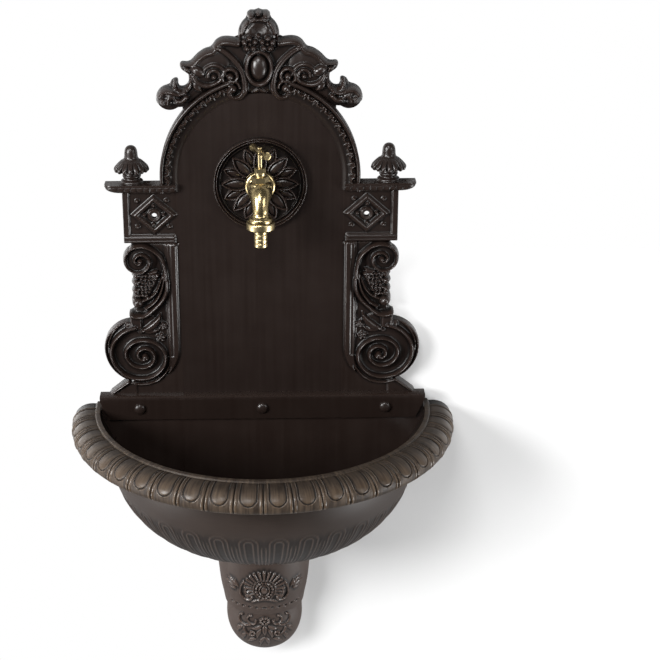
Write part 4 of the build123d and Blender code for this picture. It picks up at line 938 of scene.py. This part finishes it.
def rosette():
    """Rosette: fine rim rings, eight petals with raised edges, and the tips of eight more between."""
    a = np.linspace(0, 2 * PI, 720, endpoint=False)[:, None]
    r = np.concatenate([[54, 54], np.linspace(53.9, 15, 118)])[None, :]
    d = 13.6 + 2.6 * rise(48.4, 50.2, r) + 0 * a
    for ring, half, top, below in ((52.6, 1.35, 20.2, 14), (50.0, 1.1, 19.0, 14), (46.2, 1.0, 17.4, 12)):
        d = soft_max(d, ridge(r - ring, half, top, below), 0.3)
    # painted highlight on the raised rim rings, painted shade on the lower ground between them
    tone = np.where(d > 17.5, 1.2, -0.9)
    for turn, lift, wide, first, tip in ((PI / 8, 0.0, 7.0, 20, 45.0), (0.0, 1.4, 8.2, 10, 44.4)):
        b = (a - turn + PI / 8) % (PI / 4) - PI / 8
        u = np.abs(r * np.sin(b))
        t = np.clip((r * np.cos(b) - first) / (tip - first), 0.0, 1.0)
        w = wide * np.sin(PI * t ** 0.9) ** 0.8 + 0.05
        inner = w - u
        swell = np.sqrt(np.clip(1 - (u / np.maximum(w - 3.3, 0.1)) ** 2, 0, 1)) * np.sin(PI * t)
        edge = 3.6 * np.sqrt(np.clip(1 - ((inner - 1.3) / 1.35) ** 2, 0, 1))
        on = (inner > 0) & (t > 0.01) & (t < 0.995)
        d = np.where(on, 13.8 + lift + 1.2 * t + np.maximum(edge, 2.6 * swell), d)
        # painted highlight on the petals' raised edges and a little on their swelling middles, painted
        # shade over the rest of each petal
        tone = np.where(on, np.where(edge > 1.4, 2.0, np.where(swell > 0.6, 0.6, -1.3)), tone)
    d = np.where(r < 17.4, soft_max(d, 21.3 + 0 * a, 0.4), d)
    d[:, 0] = FIELD - 0.2
    g = np.stack([r * np.cos(a), d, TAP_Z + r * np.sin(a)], -1)
    n, m = g.shape[:2]
    return g.reshape(-1, 3), grid_faces(n, m, True), tone.reshape(-1)


cast("rosette", rosette(), ["tap_rosette"], sharp=75)


# Basin

BASIN_D = 14.0
RIM_R = 226.0
EGGS = 22
FLUTES = 16
FLOOR_OUT, FLOOR_IN = -399.0, -393.0
BOLT_X, BOLT_D, BOLT_Z = 147.0, 25.1, -239.5
BOWL = ["basin_bowl"]


def half_round(profile, n, shape, streak=(45, 0.006)):
    """Half-round body: profile of (r, z) carried round the front and straight back to the wall.

    shape(angle, arc length, r, z) gives the outward push and the tone.
    """
    p = np.asarray(profile, float)
    leg = np.diff(p, axis=0)
    run = np.concatenate([[0], np.cumsum(np.hypot(leg[:, 0], leg[:, 1]))])
    t = np.gradient(p, axis=0)
    t /= np.maximum(np.hypot(t[:, 0], t[:, 1]), 1e-9)[:, None]
    normal = np.column_stack([-t[:, 1], t[:, 0]])
    a = np.linspace(0, PI, n)[:, None]
    push, tone = shape(a, run[None, :], p[None, :, 0], p[None, :, 1])
    r = p[None, :, 0] + normal[None, :, 0] * push
    z = p[None, :, 1] + normal[None, :, 1] * push
    g = np.stack([r * np.cos(a), BASIN_D + r * np.sin(a), z], -1)
    first, last = g[:1] * [1, 0, 1], g[-1:] * [1, 0, 1]
    g = np.concatenate([first, g, last])
    tone = np.concatenate([tone[:1], tone, tone[-1:]])
    turn = np.concatenate([a[:1], a, a[-1:]])
    grain = np.stack([turn * streak[0] + 0 * r[:1], 0 * g[..., 0] + run[None, :] * streak[1],
                      0 * g[..., 0]], -1)
    return g, tone, grain.reshape(-1, 3)


rim_profile = np.vstack([
    curve([(195, -247), (195, -240.8), (195.6, -240), (199.6, -240), (200.3, -240.6), (200.6, -241.6)],
          3)[:-1],
    curve([(200.8, -241.8), (206, -241.4), (213, -242.2), (220, -245.2), (225.6, -250.2), (228.6, -256),
           (228.9, -261.6), (226.6, -266.2), (222, -268.6)], 8),
    curve([(218, -267), (212, -263), (204, -259), (198.5, -257.4), (195.2, -259)], 6)])


def egg_and_dart(a, run, r, z):
    """Push of the rim: U-shaped tongues cut round by a fine line, and paired rolls between them."""
    pitch = PI / EGGS
    wide = np.abs((a % pitch) - pitch / 2) * RIM_R
    edge = pitch * RIM_R / 2
    v = run - run[0, 15]
    half, end = 8.9, 34.0
    egg = np.where(v > end - half, np.hypot(wide, v - (end - half)), wide) - half
    low = rise(10, end - 4, v)
    crown = np.clip(1 - (wide / half) ** 2, 0, 1)
    tongue = np.where(egg < 0, (0.15 + 0.6 * low) * crown * rise(0, 1.6, -egg), 0)
    line = -0.95 * np.exp(-((egg - 0.35) / 0.5) ** 2) * (0.5 + 0.5 * low)
    brink = 0.45 * np.exp(-((egg - 1.5) / 0.55) ** 2)
    roll = (0.2 + 0.5 * low) * np.sqrt(np.clip(1 - ((wide - edge + 2.2) / 1.7) ** 2, 0, 1))
    gap = -1.1 * np.exp(-((wide - edge) / 0.65) ** 2) - 0.5 * np.exp(-((wide - edge + 4.4) / 0.5) ** 2)
    on = rise(0.2, 1.0, v) * (1 - rise(41, 46, v))
    push = tongue + line + brink + roll + gap
    # painted highlight on the tongues' lower ends, their brinks and the rolls between them, which the paint
    # also makes glossier; painted shade in the cut lines and gaps; the upper part and the lip a little
    # darker
    tone = low * crown * (egg < -0.8) + (np.abs(egg - 1.5) < 0.6)
    tone = tone + 1.5 * low * (np.abs(wide - edge + 2.5) < 1.3)
    tone = tone - 2.2 * (np.abs(egg - 0.3) < 0.55) - 1.8 * (np.abs(wide - edge) < 0.8) - 0.5 * (1 - low)
    lip = (run < run[0, 15]) & (z > -241)
    return push * on, np.where(lip, -0.3, tone * on)


rim_grid, rim_tone, rim_grain = half_round(rim_profile, EGGS * 40 + 1, egg_and_dart, (80, 0.03))
cast("basin_rim", shell(rim_grid, rim_tone), BOWL, rim_lit_worn_brown, grain=rim_grain, sharp=60)

belly_outer = np.vstack([
    curve([(195, -258), (190.5, -265), (186.4, -275), (184, -284)], 6)[:-1],
    scroll(76.81, -291.55, [(k, 107.45) for k in np.linspace(4, -90, 90)], 1)])


def flutes(a, run, r, z):
    """Push of the belly: round-topped flutes in double outlines low down, with ribs between them."""
    pitch = PI / FLUTES
    top = 68.0
    wide = np.abs((a % pitch) - pitch / 2) * r
    half = 0.31 * pitch * r
    ahead = run - top
    edge = np.where(ahead < half, np.hypot(wide, half - ahead), wide) - half
    shown = rise(top - 4, top + 10, run)
    outer = np.exp(-(edge / 1.0) ** 2)
    inner = 0.9 * np.exp(-((edge + 0.16 * pitch * r) / 0.9) ** 2)
    rib = 0.9 * np.exp(-((wide - 0.43 * pitch * r) / 0.9) ** 2) * rise(top + 6, top + 22, run)
    raised = np.maximum(outer, np.maximum(inner, rib))
    hollow = -0.6 * rise(0.1, 0.25, -edge / (pitch * r))
    # painted highlight on the raised outlines and ribs, painted shade inside the flutes
    tone = shown * np.where(raised > 0.45, 2.2, np.where(edge < 0.2 * pitch * r, -0.9, 0.0))
    return (raised + hollow) * shown, tone


belly_grid, belly_tone, belly_grain = half_round(belly_outer, FLUTES * 44 + 1, flutes, (5, 0.8))
belly_inner = curve([(77, -393), (100, -390.3), (130, -378), (155, -357), (171, -330), (178, -300),
                     (178, -284), (184, -272), (192, -252), (195, -243)], 5)


def smooth_inside(a, run, r, z):
    """No push, and an even, slightly sunk tone."""
    return 0 * a * r, 0 * a * r - 0.6


inner_grid, inner_tone, inner_grain = half_round(belly_inner, 121, smooth_inside)


def floor(rim, z):
    """Flat half disc from a rim to the middle, at a height."""
    return np.stack([rim, rim * [0, 1, 0] + [0, 0, z]], 1)


floor_out = shell(floor(belly_grid[:, -1], FLOOR_OUT))
floor_in = shell(floor(inner_grid[:, 0], FLOOR_IN)[:, ::-1])
cast("basin_belly", joined(shell(belly_grid, belly_tone), facing(floor_out, -1)), BOWL, basin_lit_brown,
     grain=np.vstack([belly_grain, floor_out[0] * 0.1]), sharp=60)
cast("basin_inside", joined(inward(shell(inner_grid, inner_tone)), facing(floor_in, 1)), BOWL,
     grain=np.vstack([inner_grain, floor_in[0] * 0.1]))


def basin_wall(x, z):
    """Back wall of the basin, cut to the bowl's section, with a tab behind the plate's flange."""
    side = np.abs(x)
    low = np.where(side > 77, np.hypot(side - 76.8, z + 291.5) - 104.5, -394 - z)
    high = side - np.interp(z, [-284, -258, -235.2, -235, -231], [181, 194, 194, 178, 178])
    bowl = np.where(z < -284, low, high)
    return np.maximum(np.maximum(bowl, z + 231.4), -394 - z)


WALL_BOX = (-200, 200, -398, -230)
wall_front = sheet(WALL_BOX, 3.0, basin_wall, flat(20.5), back=15.5, roll=0.8)
wall_rear = sheet(WALL_BOX, 3.0, basin_wall, flat(15.5), back=15.5, roll=0)
cast("basin_wall", joined(wall_front, inward(wall_rear)), BOWL)


def bolt(x0):
    """Dome head on a thin seat ring."""
    dome = [(6.75 * np.cos(a), 0.9 + 3.4 * np.sin(a)) for a in np.linspace(0.1, PI / 2 - 0.01, 14)]
    p = [(0.01, 0), (6.9, 0), (7.0, 0.5), (6.75, 0.9)] + dome
    return turned(p, (x0, BOLT_D, BOLT_Z), "y", 40)


bolts = joined(*(bolt(x0) for x0 in (-BOLT_X, 0, BOLT_X)))
cast("bolt_heads", bolts, ["flange_bolts"])


# Corbel

SHELL_Z = -475.0
OVAL_Z = -475.6

corbel_profile = np.vstack([
    curve([(54.6, -399.2), (56.6, -402), (57, -408), (57, -422), (56.5, -445), (54.9, -468), (52.2, -488),
           (48.6, -505), (46.4, -514), (45.6, -515.6)], 16)[:-1],
    curve([(43.9, -516.8), (43.4, -524), (42.8, -536), (40.9, -548), (36.6, -561), (29.4, -573),
           (20, -581.6), (9.6, -586.6), (0.3, -588)], 16)])


def half_oval(wide, tall):
    """Right half of an oval round the corbel's boss."""
    turn = np.linspace(0, PI, 24)
    return np.column_stack([wide * np.sin(turn), OVAL_Z + tall * np.cos(turn)])


def corbel_relief(s, z):
    """Cast ornament over the corbel's unrolled face: shell, beaded oval, scrolls, sprigs and leaves."""
    r = Relief(np.abs(s), z, 0.0)
    for k in range(9):
        a = np.radians(90 - 14.5 * k)
        c, n = np.cos(a), np.sin(a)
        r.rib(np.array([(13.4 * c, SHELL_Z + 15.6 * n), (19.8 * c, SHELL_Z + 23.6 * n)]), 1.5, 1.9, 0,
              ends=(0.7, 1.1))
        r.bead(21.6 * c, SHELL_Z + 26.0 * n, 1.8, 2.5, 0)
    r.rib(half_oval(11.9, 15.0), 0.9, 1.3, 0)
    for k in range(8):
        a = PI * (k + 0.5) / 8
        r.bead(8.9 * np.sin(a), OVAL_Z + 11.6 * np.cos(a), 1.8, 2.5, 0)
    r.rib(half_oval(5.6, 8.0), 0.9, 2.2, 0)
    r.bead(0, OVAL_Z, 4.4, 2.2, -0.6, tall=1.5)
    # side scrolls, their curls and the sprig beyond them
    r.rib(curve([(22.6, -465), (26.6, -474), (27.4, -484), (23.6, -491), (17.6, -492), (14.6, -487.6),
                 (17.6, -483.6), (20.6, -485.6)]), 1.7, 2.4, 0,
          ends=(0.8, 1))
    r.rib(curve([(20, -474), (21.4, -480), (19.6, -485)]), 1.2, 1.9, 0)
    r.bead(18.6, -487.4, 1.7, 2.5, 0)
    r.rib(curve([(0, -489.6), (8, -491.6), (14, -494.6)]), 1.3, 1.7, 0)
    r.leaf(curve([(33, -475), (38, -468), (44, -463.6)]), 2.6, 1.9, 0, vein=0.3)
    r.leaf(curve([(34, -477), (41, -473), (49, -470)]), 2.6, 1.8, 0, vein=0.3)
    r.leaf(curve([(33, -479), (40, -479), (46, -478)]), 2.2, 1.6, 0, vein=0.3)
    r.leaf(curve([(30, -476), (33, -470), (34, -464)]), 2.2, 1.6, 0, vein=0.3)
    # row of notches over the step
    for k in range(6):
        r.pit(1.0 + 8.8 * k, -504.6 + 0.1 * k, 2.1, 1.9)
        r.bead(5.4 + 8.8 * k, -504.8 + 0.1 * k, 1.5, 0.7, 0)
    # leaf curls of the lower half
    r.rib(curve([(31.6, -519), (35.4, -524.6), (33.4, -531.4), (26.6, -535.4), (19.4, -534)]), 1.7, 2.0, 0,
          ends=(0.8, 1))
    r.bead(30.6, -520, 2.0, 2.4, 0)
    r.rib(curve([(19.6, -519.4), (23, -525), (20.8, -530.6), (14.6, -532.6), (11.4, -529.6)]), 1.6, 2.1, 0,
          ends=(1.0, 0.8))
    r.bead(18.4, -520, 2.1, 2.4, 0)
    r.bead(11.4, -527.2, 1.8, 2.3, 0)
    for k in range(4):
        a = PI * (k + 0.5) / 4
        r.bead(5.2 * np.sin(a), -526.6 + 4.4 * np.cos(a), 2.2, 2.5, 0)
    r.bead(0, -526.6, 2.0, 2.8, 0)
    r.leaf(curve([(0, -533), (0, -541), (0, -550)]), 3.6, 2.2, 0, vein=0.8)
    r.leaf(curve([(4, -534), (10, -538), (17, -540)]), 2.8, 2.0, 0, vein=0.5)
    r.leaf(curve([(4.6, -539), (9, -547), (10.6, -556)]), 2.8, 1.9, 0, vein=0.5)
    r.rib(curve([(28.6, -540), (25, -547.4), (18.6, -551), (13.6, -548.4), (15, -544.4), (19, -545.4)]),
          1.6, 2.2, 0)
    r.bead(18.8, -547.6, 2.0, 2.6, 0)
    r.leaf(curve([(30, -538), (37, -543), (41, -551)]), 3.2, 1.9, 0, vein=0.5)
    r.leaf(curve([(26, -549), (32, -555), (35, -563)]), 3.0, 1.8, 0, vein=0.5)
    r.leaf(curve([(12, -556), (20, -559), (28, -565)]), 2.8, 1.7, 0, vein=0.4)
    r.leaf(curve([(0, -553), (5, -560), (7, -569)]), 2.8, 1.6, 0, vein=0.4)
    return r.depth


def corbel():
    """Corbel: half-round shell with its ornament, hollow and open behind."""
    a = np.linspace(0, PI, 341)[:, None]
    p = corbel_profile
    s = (a - PI / 2) * 50 + 0 * p[None, :, 0]
    lift = corbel_relief(s, np.broadcast_to(p[None, :, 1], s.shape))
    lift = 1.25 * lift * rise(0.05, 0.5, np.sin(a)) * rise(-586, -570, p[None, :, 1])
    r = p[None, :, 0] + lift - 0.6
    spread = np.interp(-p[None, :, 1], [400, 470, 505, 536, 560, 580, 588],
                       [1.045, 1.05, 1.075, 1.14, 1.18, 1.22, 1.25])
    outer = np.stack([spread * r * np.cos(a), r * np.sin(a), np.broadcast_to(p[None, :, 1], r.shape)], -1)
    hollow = np.clip(p[None, :, 0] - 4.5, 0.2, None) + 0 * a
    within = np.stack([spread * hollow * np.cos(a), hollow * np.sin(a),
                       np.broadcast_to(np.maximum(p[None, :, 1], -582), r.shape)], -1)
    # relief's height over its mean: painted highlight on the ornament's ridges, painted shade in its
    # hollows
    tone = lift - blur(lift, 4)
    lining = inward(shell(within[::6, ::4]))
    edges = [shell(np.stack([outer[k], within[k]], 0)) for k in (0, -1)]
    # painted shade: the top of the corbel, just under the bowl, is painted towards the dark hollow colour
    return joined(shell(outer, 2.6 * tone - 3.4 * rise(-406, -401, p[None, :, 1])), lining, *edges)


cast("corbel_body", corbel(), ["corbel"], corbel_lit_brown, sharp=75)


# Tap

SEAT_Z = 43.6
BONNET_D = 50.0
OUTLET_D = 68.0
HANDLE_Z = 84.0
HANDLE_TURN = np.radians(22.0)


def tap_casting():
    """Cast tap body: inlet, collar, neck that bends down to the outlet, and the bonnet's bored boss."""
    inlet = turned([(4.5, -10), (4.5, -20), (10.1, -20), (10.48, -19.6), (10.48, 21.8), (0.01, 21.8)],
                   (0, 0, TAP_Z), "y", 48)
    collar = turned(curve([(0.01, 21.5), (15.8, 21.5), (17.3, 22.0), (17.6, 23.4), (17.2, 25.4),
                           (15.6, 27.0), (12.6, 27.8), (10.6, 28.6),
                           (0.01, 28.8)], 5), (0, 0, TAP_Z), "y", 72)
    line = curve([(26, 37), (34, 37), (42, 37.4), (50, 37.6), (56.6, 36.4), (62.4, 32.6), (66, 27.4),
                  (67.6, 22), (68, 18), (68, 15.4), (68, 13), (68, 9.4)], 7)
    wide = curve([(10.4, 0), (10.4, 0), (11.2, 0), (13.0, 0), (12.9, 0), (11.0, 0), (9.5, 0), (9.0, 0),
                  (8.9, 0), (10.2, 0), (12.9, 0), (13.2, 0)], 7)
    outside = curve([(0.01, 36), (11.6, 36.4), (12.2, 40), (12.2, 44), (12.4, 46.2), (12.0, 47.6),
                     (11.0, 48.6), (10.4, 49)], 5)
    bored = np.vstack([outside, [(8.7, 49), (8.7, SEAT_Z), (0.01, SEAT_Z)]])
    boss = turned(bored, (0, BONNET_D, 0), "z", 72)
    neck = tube(line, wide[:, 0], 64)
    chamber = (np.hypot(neck[0][:, 0], neck[0][:, 1] - BONNET_D) < 9.2) & (neck[0][:, 2] > SEAT_Z)
    neck[0][chamber, 2] = SEAT_Z
    return joined(inlet, collar, neck, boss)


make("tap_casting", tap_casting(), brass, "brass", ["tap_body"])

union_nut = turned(curve([(8.75, 0.2), (13.6, 0.1), (15.2, 0.5), (15.8, 1.4), (15.9, 3.0), (15.9, 6.0),
                          (15.8, 7.6), (15.2, 8.6), (13.8, 9.0),
                          (12.4, 9.2)], 4), (0, OUTLET_D, 0), "z", 96)
make("union_nut", union_nut, satin_brass, "brass", ["hose_union_nut"])


def hose_tail():
    """Ribbed hose tail: a plain tube with four shallow rings, open below."""
    z = np.linspace(2, -20.8, 116)
    ring = np.abs(((z + 20.6) / 5.0) % 1 - 0.5) * 2
    r = 7.5 - 0.5 * np.clip(ring - 0.72, 0, 1) / 0.28 * (z < -3)
    r = np.minimum(r, 6.6 + np.sqrt(np.clip(z + 20.85, 0, 1)))
    profile = np.concatenate([[[7.2, 2.1]], np.column_stack([r, z]), [[5.2, -20.8], [5.2, -12.0]]])
    return turned(profile, (0, OUTLET_D, 0), "z", 72)


make("tail", hose_tail(), satin_brass, "brass", ["hose_tail"])


def handle():
    """Tee bar: two arms that swell to flat round ends, and a swelling round the spindle."""
    half = curve([(0.01, 21.5), (3.9, 21.5), (4.4, 21.0), (4.5, 20.0), (4.4, 18.6), (3.6, 15.4),
                  (3.1, 11.6), (3.0, 8.0), (3.1, 5.6), (3.8, 4.0), (4.1, 2.0), (4.2, 0)], 5)
    profile = np.vstack([half * [1, -1], half[-2::-1]])
    points, faces, tone = turned(profile, (0, 0, 0), "y", 40)
    c, s = np.cos(HANDLE_TURN), np.sin(HANDLE_TURN)
    points = np.column_stack([c * points[:, 0] + s * points[:, 1], c * points[:, 1] - s * points[:, 0],
                              points[:, 2]])
    return points + [0, BONNET_D, HANDLE_Z], faces, tone


make("handle_bar", handle(), brass, "brass", ["tee_handle"], body="spindle")


# Stage


def backdrop_material():
    """White wall: bright to the camera, with a share of diffuse white for shadows; clear from behind."""
    material, tree, out = blank("backdrop")
    rays = tree.nodes.new("ShaderNodeLightPath")
    seen = Flow(tree, rays.outputs["Is Camera Ray"]) + Flow(tree, rays.outputs["Is Transmission Ray"])
    grey = mix(tree, seen.clamp(), (0.3, 0.3, 0.3, 1), (0.6, 0.6, 0.6, 1))
    white = node(tree, "ShaderNodeBsdfDiffuse", {}, {"Color": grey})
    glow = node(tree, "ShaderNodeEmission", {}, {"Color": (1, 1, 1, 1), "Strength": 1.0})
    place = node(tree, "ShaderNodeNewGeometry", {}, {}, "Position")
    split = tree.nodes.new("ShaderNodeSeparateXYZ")
    tree.links.new(place.socket, split.inputs[0])
    x, z = Flow(tree, split.outputs["X"]), Flow(tree, split.outputs["Z"])
    right = (x * 12 + 0.3).clamp()
    below = (z * -8 - 0.4).clamp()
    near = ((z + 1.1) * 3).clamp() * ((0.9 - x) * 3).clamp()
    share = 1.0 - right * below * near * 0.88
    both = node(tree, "ShaderNodeMixShader", {}, {0: seen.clamp() * share, 1: white, 2: glow})
    behind = node(tree, "ShaderNodeNewGeometry", {}, {}, "Backfacing")
    clear = node(tree, "ShaderNodeBsdfTransparent", {}, {})
    final = node(tree, "ShaderNodeMixShader", {}, {0: behind, 1: both, 2: clear})
    tree.links.new(final.socket, out.inputs["Surface"])
    return material


scene = bpy.context.scene
wall = bpy.data.meshes.new("backdrop")
wall.from_pydata([(x, 0.0012, z) for x in (-4, 4) for z in (-3, 3)], [], [(0, 2, 3, 1)])
wall.materials.append(backdrop_material())
backdrop = bpy.data.objects.new("backdrop", wall)
backdrop.visible_shadow = False
scene.collection.objects.link(backdrop)


def studio():
    """World: white to the camera, with a faint cool light on the object."""
    world = bpy.data.worlds.new("studio")
    world.use_nodes = True
    tree = world.node_tree
    tree.nodes.clear()
    rays = tree.nodes.new("ShaderNodeLightPath")
    seen = Flow(tree, rays.outputs["Is Camera Ray"])
    dim = node(tree, "ShaderNodeBackground", {}, {"Color": (0.95, 0.97, 1.0, 1), "Strength": 0.05})
    white = node(tree, "ShaderNodeBackground", {}, {"Color": (1, 1, 1, 1), "Strength": 1.0})
    sky = node(tree, "ShaderNodeMixShader", {}, {0: seen, 1: dim, 2: white})
    tree.links.new(sky.socket, tree.nodes.new("ShaderNodeOutputWorld").inputs["Surface"])
    return world


scene.world = studio()


def lamp(name, place, target, size, watts):
    """Soft square lamp aimed at a point."""
    data = bpy.data.lights.new(name, "AREA")
    data.size = size
    data.energy = watts
    made = bpy.data.objects.new(name, data)
    made.location = place
    made.rotation_euler = (Vector(target) - Vector(place)).to_track_quat("-Z", "Y").to_euler()
    scene.collection.objects.link(made)


lamp("key", (-1.7, -1.45, 0.55), (0, 0, -0.15), 0.85, 90)
lamp("top", (-0.4, -1.7, 1.45), (0, -0.05, -0.1), 0.75, 34)
lamp("fill", (1.8, -1.6, 0.7), (0, 0, -0.1), 0.8, 16)
lamp("side", (1.6, -0.6, -0.8), (0, -0.1, -0.38), 0.7, 33)
lamp("side_left", (-1.6, -0.5, -0.8), (0, -0.1, -0.38), 0.7, 17)
lamp("rear", (-1.5, 1.6, -0.1), (0, 0, -0.15), 1.0, 60)
lamp("rear_right", (1.6, 1.5, -0.1), (0, 0, -0.15), 1.0, 30)
lamp("bounce", (0, -0.3, -1.3), (0, -0.2, -0.3), 1.1, 2.8)

EYE_PLACE = (0.000395, -1.706573, 0.540602)
EYE_TILT, EYE_ROLL = 22.0, 0.58

camera = bpy.data.cameras.new("camera")
camera.sensor_width = 36
camera.lens = 84.16
camera.shift_x = 0.103
eye = bpy.data.objects.new("camera", camera)
tilt, roll = np.radians(EYE_TILT), np.radians(EYE_ROLL)
forward = np.array([0, np.cos(tilt), -np.sin(tilt)])
right = np.array([1.0, 0, 0])
up = np.cross(right, forward)
across = np.cos(roll) * right - np.sin(roll) * up
over = np.sin(roll) * right + np.cos(roll) * up
turn = Matrix(np.column_stack([across, over, -forward]).tolist()).to_4x4()
eye.matrix_world = Matrix.Translation(EYE_PLACE) @ turn
scene.collection.objects.link(eye)
scene.camera = eye
scene.view_settings.view_transform = "Standard"

# pieces that keep their own solids
for name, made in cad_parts.items():
    chosen = satin_brass if name in ("tap_bonnet", "gland_nut", "tap_spindle") else brass
    if name in ("drain_gasket", "gland_packing", "jumper_washer", "hose_tail_gasket"):
        chosen = rubber
    if name in ("flange_washers", "flange_nuts", "inlet_washer"):
        chosen = zinc
    made.data.materials.clear()
    made.data.materials.append(chosen)
